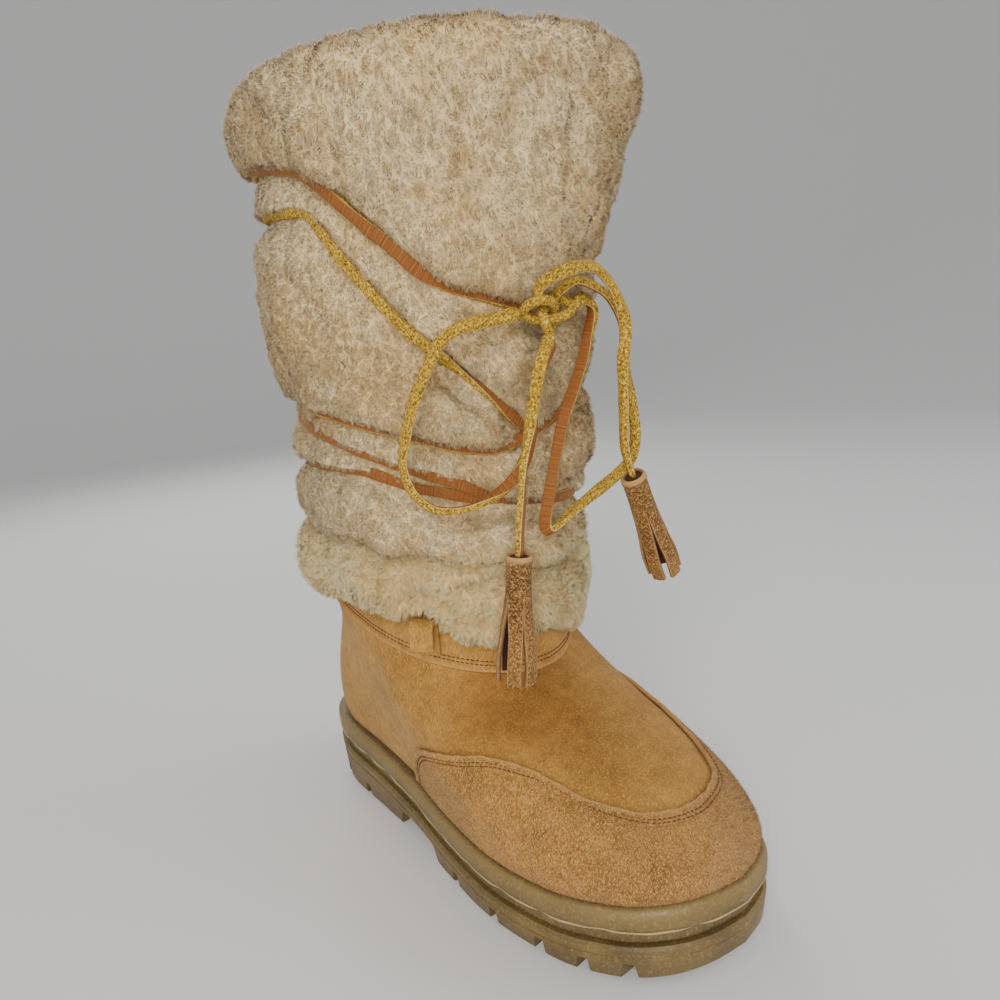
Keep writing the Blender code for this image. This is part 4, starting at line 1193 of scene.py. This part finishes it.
def tread_side(u, v):
    around = 1 - 2 * u
    step = np.rint(v * (len(TREAD_STEPS) - 1)).astype(int)
    points = np.empty((len(u), 3))
    for i, (out, drop, rise) in enumerate(TREAD_STEPS):
        here = step == i
        standout = np.full(here.sum(), out * OUTSOLE_STANDOUT)
        points[here] = sole_point(around[here], standout, top + (drop or 0) * MM)
        if rise is not None:
            points[here, 2] = ground(outline(around[here])[:, 1]) + rise * MM
    return points


tread = lay_sheet("tread", 264, len(TREAD_STEPS) - 1, tread_side, closed=True)
turn_outwards(tread, fill=True, split=True)


def cutter(name, corners_low, corners_high):
    """A box whose lower and upper outlines are given, to cut the tread with."""
    bpy.ops.object.select_all(action="DESELECT")
    bpy.ops.mesh.primitive_cube_add(size=1)
    box = bpy.context.object
    box.name = name
    for vertex in box.data.vertices:
        corner = 2 * (vertex.co.y > 0) + (vertex.co.x > 0)
        vertex.co = (corners_high if vertex.co.z > 0 else corners_low)[(0, 1, 3, 2)[corner]]
    return box


def cross_groove(share, turn, depth, width, flare):
    """A box across the sole, at a share of its length from the toe, that widens downwards."""
    y = HEEL_BACK - FOOT_LENGTH + share * FOOT_LENGTH
    along = Vector((cos(radians(turn)), sin(radians(turn)), 0))
    side = Vector((-along.y, along.x, 0))

    def outline_at(z, wide):
        middle = Vector((0, y, z))
        signs = ((-1, -1), (1, -1), (1, 1), (-1, 1))
        return [middle + along * a * BALL_WIDTH + side * b * wide / 2 for a, b in signs]

    spread = flare * (depth - CUT_FROM) / depth
    return cutter("groove", outline_at(CUT_FROM, width + spread), outline_at(float(ground(y)) + depth, width))


def cut(obj, box):
    modifier = obj.modifiers.new("cut", "BOOLEAN")
    modifier.operation = "DIFFERENCE"
    modifier.solver = "EXACT"
    modifier.object = box
    apply_modifiers(obj)
    bpy.data.objects.remove(box)


for share, turn in GROOVES:
    cut(tread, cross_groove(share, turn, LUG_HEIGHT, LUG_GAP, LUG_GAP_FLARE))
cut(tread, cross_groove(ARCH_AT, 0, ARCH_RISE, ARCH_LENGTH, ARCH_FLARE))
for start, end in CHANNELS:
    y0, y1 = (HEEL_BACK - FOOT_LENGTH + share * FOOT_LENGTH for share in (start, end))
    aside = CHANNEL_WIDTH / 2
    plan = ((-aside, y0), (aside, y0), (aside, y1), (-aside, y1))
    cut(tread, cutter("channel", *[[Vector((x, y, z)) for x, y in plan] for z in (CUT_FROM, CHANNEL_DEPTH)]))
select_only(tread)
bpy.ops.object.shade_smooth_by_angle(angle=radians(32))
at = places(tread)
mark(tread, "dirt_and_shade", (1 - ramp(at[:, 2], 9 * MM)) * 0.8)
print("tread faces:", len(tread.data.polygons))

# %% [markdown]
# ## The sheepskin
#
# The leg is a sheepskin with its wool outside. Its skin is a copy of the frame's shaft: its loose triangles
# are merged and turned back into quads, smoothed by subdivision, and sunk by the part of the pile's depth
# that the fibres will fill again. Folds are given as turns from the front and heights, and the skin swells
# between the thongs. The pile itself is real: four bands of short fibres, rooted at random, drawn together
# into small round tufts, leaning down and swirled by a slow wave. Beside a thong they are pressed short.
# Each fibre takes its shading from the tuft that it stands in, because wool looks soft, and not like a heap
# of blades.

# %% Skin of the leg
PILE_SINK = 1.5 * MM
PRESSED_NEAR = 3.0 * MM
ROLL_SWELL = 4.0 * MM
ROLL_HANG = 4.5 * MM
LACE_PRESS = 0.7 * MM
DEEPEST = 3.8 * MM
THINNEST = 2.0 * MM
INNER_ROOM = 3.8 * MM
MM_A_DEGREE = 1.15
RIM_DEPTH = 22 * MM
PUFF_SIZE = 44 * MM
LUMP_SIZE = 10 * MM
LUMP_RISE = 0.45 * MM
# Folds from turn and height, to turn and height, width and depth in millimetres: below zero a trough.
FOLDS = (
    (14, 336, 2, 268, 7, -1.6), (70, 305, 48, 290, 9, -1.2), (58, 246, 20, 226, 8, -2.2),
    (104, 242, 60, 238, 7, -2.2), (6, 231, -44, 217, 8, -2.0), (52, 210, 24, 199, 6, -1.6),
    (30, 264, 20, 242, 6, -1.4), (41, 184, -24, 175, 6, -3.0), (13, 162, -28, 152, 6, -2.6),
    (78, 166, 56, 156, 5, -2.0), (57, 164, 48, 140, 6, -3.6), (49, 145, 26, 139, 4, -2.8),
    (100, 182, 62, 178, 9, 2.0), (60, 174, 22, 168, 9, 2.4), (92, 152, 68, 148, 10, 2.2),
    (40, 153, 22, 150, 8, 2.2), (40, 132, 20, 133, 6, 1.6), (-20, 164, -60, 160, 9, 1.8),
    (-70, 250, -110, 240, 9, -2.0), (-60, 200, -120, 196, 9, 1.8), (150, 246, 190, 238, 9, -2.0),
    (-30, 300, -60, 280, 9, -1.6),
)


lace_tree = tree_of(lace_lines)


def node_copy(name, node):
    """A copy of a frame node with its loose triangles merged into smooth quads."""
    select_only(frame["nodes"][node])
    bpy.ops.object.duplicate()
    copy = bpy.context.object
    bpy.ops.object.parent_clear(type="CLEAR_KEEP_TRANSFORM")
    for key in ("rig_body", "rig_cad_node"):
        if key in copy:
            del copy[key]
    copy.name = copy.data.name = name
    merge_points(1e-5, quads=True)
    return copy


def subdivided(obj, levels):
    smooth = obj.modifiers.new("smooth", "SUBSURF")
    smooth.levels = smooth.render_levels = levels
    apply_modifiers(obj)


skin = node_copy("shaft_skin", "shaft")
subdivided(skin, 2)
points, normals = places(skin), normals_of(skin)
middle_line = leg_centre(points[:, 2])
radial = points * (1, 1, 0)
radial[:, 1] -= middle_line
outside = ramp((unit(radial) * normals).sum(axis=1) + 0.35, 0.3)
rim = ramp(points[:, 2] - (TOP_HEIGHT - RIM_DEPTH), 8 * MM)
furry = np.maximum(outside, rim)
puffs = np.abs(wave_field(points, PUFF_SIZE, 4, 10)[:, 0])
lumps = wave_field(points, LUMP_SIZE, 3, 16)[:, 0] * LUMP_RISE
lumps += (np.minimum(puffs, 1.2) ** 0.6 * 2.6 - 1.5) * MM
nearest = [lace_tree.find(point) for point in points]
away = points - np.array([found[0] for found in nearest])
far = np.array([found[2] for found in nearest])
above = np.clip(away[:, 2] / np.maximum(far, 1e-6), 0, 1)
swell = ROLL_SWELL * ramp(far - 3 * MM, 8 * MM) ** 1.5
hang = ROLL_HANG * above * near(far - 6.5 * MM, 4.5 * MM)
press = LACE_PRESS * near(far, 3.5 * MM)
lumps *= (1 - 0.65 * rim) * (1 - 0.85 * near(far, 5 * MM))
turns = np.degrees(np.arctan2(-points[:, 0] / SHAFT_WIDTH, (middle_line - points[:, 1]) / SHAFT_DEPTH))
unrolled = np.stack((turns * MM_A_DEGREE, points[:, 2] / MM), axis=1)
for t0, z0, t1, z1, width, deep in FOLDS:
    ends = np.array(((t0 * MM_A_DEGREE, z0), (t1 * MM_A_DEGREE, z1)))
    lumps += deep * MM * near(to_line(unrolled, *ends), width)
skin_tree = BVHTree.FromObject(skin, bpy.context.evaluated_depsgraph_get())
inside = points - normals * 0.3 * MM
walls = [skin_tree.ray_cast(Vector(point), Vector(-way))[3] for point, way in zip(inside, normals)]
spare = np.array([1 if wall is None else max(wall - THINNEST, 0) for wall in walls])
rise = np.maximum(lumps + swell + hang * 0.6 - press - PILE_SINK, -np.minimum(DEEPEST, spare))
room = INNER_ROOM * near(far, 10 * MM)
moved = points + normals * (furry * rise + (1 - furry) * room)[:, None]
moved[:, 2] -= furry * hang
move_points(skin, moved)
mark(skin, "skin", np.ones(len(points)))
mark(skin, "tip", 0.5 * furry)
bpy.ops.object.shade_smooth()
print("skin points:", len(points), "furry share:", round(float(furry.mean()), 2))


# %% The pile
TUFT_RADIUS = 1.3 * MM
FIBRES_IN_A_TUFT = 30
FIBRE_WIDTH = 0.3 * MM
DROOP = 0.3
SWIRL = 0.2
SWIRL_SIZE = 26 * MM
TUFT_LEAN = 0.25
DRAWN_TOGETHER = 0.3


def blades(name, root, tip, side, soft, tone):
    """One mesh of three-cornered fibres from arrays of their places, shaded by the soft normals given."""
    count = len(root)
    points = np.stack((root - side, root + side, tip), axis=1).reshape(-1, 3)
    mesh = bpy.data.meshes.new(name)
    mesh.vertices.add(len(points))
    mesh.vertices.foreach_set("co", points.ravel())
    mesh.loops.add(len(points))
    mesh.loops.foreach_set("vertex_index", np.arange(len(points), dtype=np.int32))
    mesh.polygons.add(count)
    mesh.polygons.foreach_set("loop_start", np.arange(0, len(points), 3, dtype=np.int32))
    mesh.update(calc_edges=True)
    mesh.polygons.foreach_set("use_smooth", np.ones(count, bool))
    mesh.normals_split_custom_set_from_vertices(np.repeat(soft, 3, axis=0))
    obj = linked(name, mesh)
    mark(obj, "tip", np.tile((0, 0, 1), count))
    mark(obj, "tone", np.repeat(tone, 3))
    return obj


def rooted(base, weight, count, rng):
    """Random places on a mesh: points and normals, thicker where the weight of its points is more."""
    mesh = base.data
    mesh.calc_loop_triangles()
    corners = np.empty(len(mesh.loop_triangles) * 3, np.int32)
    mesh.loop_triangles.foreach_get("vertices", corners)
    corners = corners.reshape(-1, 3)
    at, way = places(base), normals_of(base)
    a, b, c = (at[corners[:, i]] for i in range(3))
    area = np.linalg.norm(np.cross(b - a, c - a), axis=1) * weight[corners].mean(axis=1)
    pick = rng.choice(len(corners), count, p=area / area.sum())
    share = rng.dirichlet((1, 1, 1), count)[:, :, None]
    root = (at[corners[pick]] * share).sum(axis=1)
    normal = (way[corners[pick]] * share).sum(axis=1)
    return root, unit(normal)


def grow_pile(name, base, weight, count, length, seed, tan):
    """Wool on a skin: short fibres in round tufts, drooping and swirled by a slow wave."""
    rng = np.random.default_rng(seed)
    root, normal = rooted(base, weight, count, rng)
    centres = np.arange(0, count, FIBRES_IN_A_TUFT)
    tuft_tree = tree_of(root[centres])
    found = [tuft_tree.find(point) for point in root]
    owner = centres[[place[1] for place in found]]
    apart = np.clip(np.array([place[2] for place in found]) / TUFT_RADIUS, 0, 1.3)
    lace = [lace_tree.find(point) for point in root]
    far = np.array([place[2] for place in lace])
    above = root[:, 2] > np.array([place[0][2] for place in lace])
    short = np.clip((far - PRESSED_NEAR * 0.4) / PRESSED_NEAR, np.where(above, 0.8, 0.55), 1)
    lean = wave_field(root, SWIRL_SIZE, 7) * SWIRL + wave_field(root, 7 * MM, 8) * 0.25 + (0, 0, -DROOP)
    lean += rng.normal(0, TUFT_LEAN, (len(centres), 3))[np.searchsorted(centres, owner)]
    lean[:, 2] -= above * near(far, 6 * MM) * 0.5
    lean -= normal * (lean * normal).sum(axis=1, keepdims=True)
    reach = length * rng.uniform(0.8, 1.1, count) * short * (1 - 0.3 * apart**2)
    way = unit(normal + lean + rng.normal(0, 0.14, (count, 3)))
    tip = root + way * reach[:, None]
    tip += (tip[owner] - tip) * DRAWN_TOGETHER * rng.uniform(0.6, 1.0, count)[:, None]
    side = unit(np.cross(tip - root, normal + rng.normal(0, 0.3, (count, 3)))) * FIBRE_WIDTH / 2
    bulge = (root - root[owner]) / TUFT_RADIUS
    soft = unit(normal + bulge * 0.35 + way * 0.2 + rng.normal(0, 0.1, (count, 3)))
    # Tone mixes the root's tan into a fibre: at random for each tuft, and more at a tuft's edge and beside a
    # thong, where it is painted shade.
    tone = rng.normal(tan, 0.28, count)[owner] + 0.3 * apart**2
    tone = tone + rng.normal(0, 0.08, count) + 0.45 * near(far, 3.5 * MM)
    return blades(name, root, tip, side, soft, tone)


height = places(skin)[:, 2]
# Name, lowest and highest place in metres, length of the wool in millimetres, share of tan in it.
BANDS = (
    ("pile_hem", -1, 0.168, 4.0, 0.0), ("pile_low", 0.168, 0.222, 2.8, 0.15),
    ("pile_high", 0.222, 0.283, 2.5, 0.25), ("pile_cuff", 0.283, 1, 2.6, 0.3),
)
FIBRES = 136000
piles = []
for seed, (name, low, high, length, tan) in enumerate(BANDS):
    here = furry * ((height >= low) & (height < high))
    piles.append(grow_pile(name, skin, here, FIBRES, length * MM, 20 + seed, tan))
    print(name, "fibres:", FIBRES)

# %% Loose fibres on the worn cap and the edges of its seam
def loose_fibres(name, base, weight, count, length, seed):
    """Short pale fibres that stand up from worn suede."""
    rng = np.random.default_rng(seed)
    root, normal = rooted(base, weight, count, rng)
    way = normal * 0.5 + rng.normal(0, 0.75, (count, 3))
    way += normal * np.maximum(0.25 - (way * normal).sum(axis=1, keepdims=True), 0)
    way = unit(way)
    tip = root + way * (length * rng.uniform(0.5, 1.3, count))[:, None]
    side = unit(np.cross(way, normal + rng.normal(0, 0.3, (count, 3)))) * 0.08 * MM
    return blades(name, root - normal * 0.1 * MM, tip, side, normal, rng.uniform(0, 1, count))


UNDER_THE_BOOT = (0, 0, -50 * MM)
NAP_FIBRES = 30000
NAP_LENGTH = 1.15 * MM
NAP = new_finish("loose_fibres", Roughness=0.9)
into(NAP, "Base Color", over(NAP, marked(NAP, "tone"), paint(150, 104, 50), paint(230, 194, 136)))
at = places(cap)
outer = (normals_of(cap) * (at - UNDER_THE_BOOT)).sum(axis=1) > 0
worn_there = outer * (0.25 + near(np.linalg.norm(at - WORN_TIP, axis=1), 50 * MM))
cap_nap = loose_fibres("cap_nap", cap, worn_there, NAP_FIBRES, NAP_LENGTH, 41)

# %% [markdown]
# ## The tassels
#
# A tassel is a piece of suede rolled into a tube and cut from below. Five sheets stand side by side round
# its axis. Above the slits their edges meet and are merged, so the head is one smooth tube. Below them each
# strip keeps its width while the tube grows wider, and the slits open. The inner side is painted dark, and so
# is the core in which the lace ends, as painted shade inside the tube.

# %% Tassels
TASSEL_LENGTH = 51 * MM
TASSEL_HEAD = 5.4 * MM
TASSEL_WALL = 1.5 * MM
TASSEL_CLEAR = 0.7 * MM
STRIP_WIDTH = 6.3 * MM
SLIT_WIDTH = 0.35 * MM
SLITS = (0.30, 0.37, 0.26, 0.34, 0.29)
# Share of the length, radius as a share of the head's.
TASSEL_RADII = (
    (-0.04, 0.86), (-0.025, 0.99), (0.0, 1.02), (0.03, 0.95), (0.12, 0.95), (0.32, 1.0), (0.6, 1.2),
    (0.85, 1.45), (1.0, 1.42),
)
TASSEL_FEET = {"left": (-35, -58, 120), "right": (52, -67, 140)}
TASSEL_TURNS = {"left": 252, "right": 200}


def joined(first, others):
    """Joins the other pieces to the first."""
    select_only(first)
    for obj in others:
        obj.select_set(True)
    bpy.ops.object.join()
    return first


def tassel(name, top, foot, turned, seed):
    """A tube of suede from its top towards its foot, slit into strips from where turned says."""
    rng = np.random.default_rng(seed)
    axis = unit(foot - top)
    side = unit(np.cross(axis, (0, 1, 0)))
    other = np.cross(axis, side)
    strips = []
    for k, start in enumerate(SLITS):
        looks = turned + 2 * pi * (k + 0.5) / len(SLITS)
        out = cos(looks) * side + sin(looks) * other
        beside = cos(looks) * other - sin(looks) * side
        lift, swing, longer, roll = rng.uniform((-0.4, -0.9, -0.03, -0.5), (0.8, 0.9, 0.02, 0.5))
        marks = {}

        def strip(u, v):
            share = -0.04 + 1.04 * v
            radius = TASSEL_HEAD * through(TASSEL_RADII, 1, share)
            loose = ramp(share - start, 0.25)
            wide = (2 * pi * radius / len(SLITS)) * (1 - loose) + STRIP_WIDTH * loose
            wide = wide - SLIT_WIDTH * (loose > 0)
            curve = radius * (1 + 0.6 * loose)
            angle = (u - 0.5) * wide / curve
            bent = (lift + (u - 0.5) * roll * 2) * MM * loose
            outwards = radius - curve + curve * np.cos(angle) + bent
            aside = curve * np.sin(angle) + swing * MM * loose
            down = share * TASSEL_LENGTH * (1 + longer * loose)
            marks["edge"] = (1 - ramp(share + 0.02, 0.03)) * 0.9
            marks["edge"] += ramp(np.abs(u - 0.5) - 0.4, 0.1) * (loose > 0) * 0.6
            return top + axis * down[:, None] + out * outwards[:, None] + beside * aside[:, None]

        strips.append(lay_sheet(name, 10, 44, strip))
        mark(strips[-1], "edge", marks["edge"])
    whole = joined(strips[-1], strips[:-1])
    merge_points(1e-6)
    outer = len(whole.data.vertices)
    with_wall(whole, TASSEL_WALL)
    # The inner wall is painted dark, as painted shade inside the tube.
    mark(whole, "dark", np.arange(len(whole.data.vertices)) >= outer)

    def core(u, v):
        angle = 2 * pi * u
        down = TASSEL_LENGTH * (-0.014 + 0.3 * v)
        ring = np.cos(angle)[:, None] * side + np.sin(angle)[:, None] * other
        return top + axis * down[:, None] + ring * (TASSEL_HEAD - TASSEL_WALL)

    inner = lay_sheet(name + "_core", 20, 4, core, closed=True, caps=True)
    # The core is a dark plug, painted as the shade deep in the tube.
    mark(inner, "dark", np.ones(len(inner.data.vertices)))
    joined(whole, [inner])
    bpy.ops.object.shade_smooth_by_angle(angle=radians(50))
    whole.name = whole.data.name = name
    return whole


tassels = {}
for seed, (side, foot) in enumerate(TASSEL_FEET.items()):
    end, foot = free["lace_end_" + side][2][-1], np.array(foot) * MM
    top = end + unit(foot - end) * TASSEL_CLEAR
    tassels[side] = tassel("slit_tassel_" + side, top, foot, radians(TASSEL_TURNS[side]), seed)

# %% Smooth copies of the small pieces
small = {}
for node in ("lace_knot", "lace_tab", "back_keeper"):
    small[node] = node_copy(node + "_form", node)
    if node == "lace_knot":
        subdivided(small[node], 1)
    else:
        rounded_edges = small[node].modifiers.new("soft_edges", "BEVEL")
        rounded_edges.width = 0.5 * MM
        rounded_edges.segments = 2
        apply_modifiers(small[node])
    bpy.ops.object.shade_smooth_by_angle(angle=radians(50))

# %% [markdown]
# ## Dressing the boot
#
# Each piece gets its finish and takes the place of the frame's plain solid.

# %% Laces
# Each cord's far end, and the pieces that hang on it.
CORDS = {
    "bow_loop_left": ("object", [small["lace_knot"]]),
    "bow_loop_right": ("object", []),
    "lace_end_left": ("fitting", [tassels["left"]]),
    "lace_end_right": ("fitting", [tassels["right"]]),
}
for name, (far_end, held) in CORDS.items():
    piece, length, path = free[name]
    finished(piece, THONG, "lace_leather", name)
for piece, _ in wraps:
    finished(piece, THONG, "lace_leather", "lace_wraps")

# %% Foot, sole and sheepskin
for piece, finish, slot, node in (
    (upper, SUEDE, "suede", "upper"),
    (band, SUEDE, "suede", "ankle_band"),
    (stitches["band_stitches"], THREAD, "suede", "ankle_band"),
    (cap, CAP_SUEDE, "cap_suede", "toe_cap"),
    (stitches["cap_stitches"], THREAD, "cap_suede", "toe_cap"),
    (rand, RUBBER, "sole_rubber", "welt"),
    (parting, FLASH, "sole_rubber", "welt"),
    (ribbed_band, RUBBER, "sole_rubber", "midsole"),
    (tread, RUBBER, "sole_rubber", "outsole"),
    (skin, PILE, "shearling", "shaft"),
):
    finished(piece, finish, slot, node)
# The hem's fibres take the lighter copy of the pile, which is painted light.
for piece in piles:
    finished(piece, LIT_HEM_PILE if piece.name == "pile_hem" else PILE, "shearling", "shaft")

# %% Small pieces
finished(cap_nap, NAP, "cap_suede", "toe_cap")
for side, piece in tassels.items():
    finished(piece, TASSEL, "tassel_suede", "tassel_" + side)
finished(small["lace_knot"], THONG, "lace_leather", "lace_knot")
finished(small["lace_tab"], SUEDE, "suede", "lace_tab")
finished(small["back_keeper"], SUEDE, "suede", "back_keeper")

# %% The insole keeps the frame's form
frame["nodes"]["insole"].data.materials.clear()
frame["nodes"]["insole"].data.materials.append(WOOL)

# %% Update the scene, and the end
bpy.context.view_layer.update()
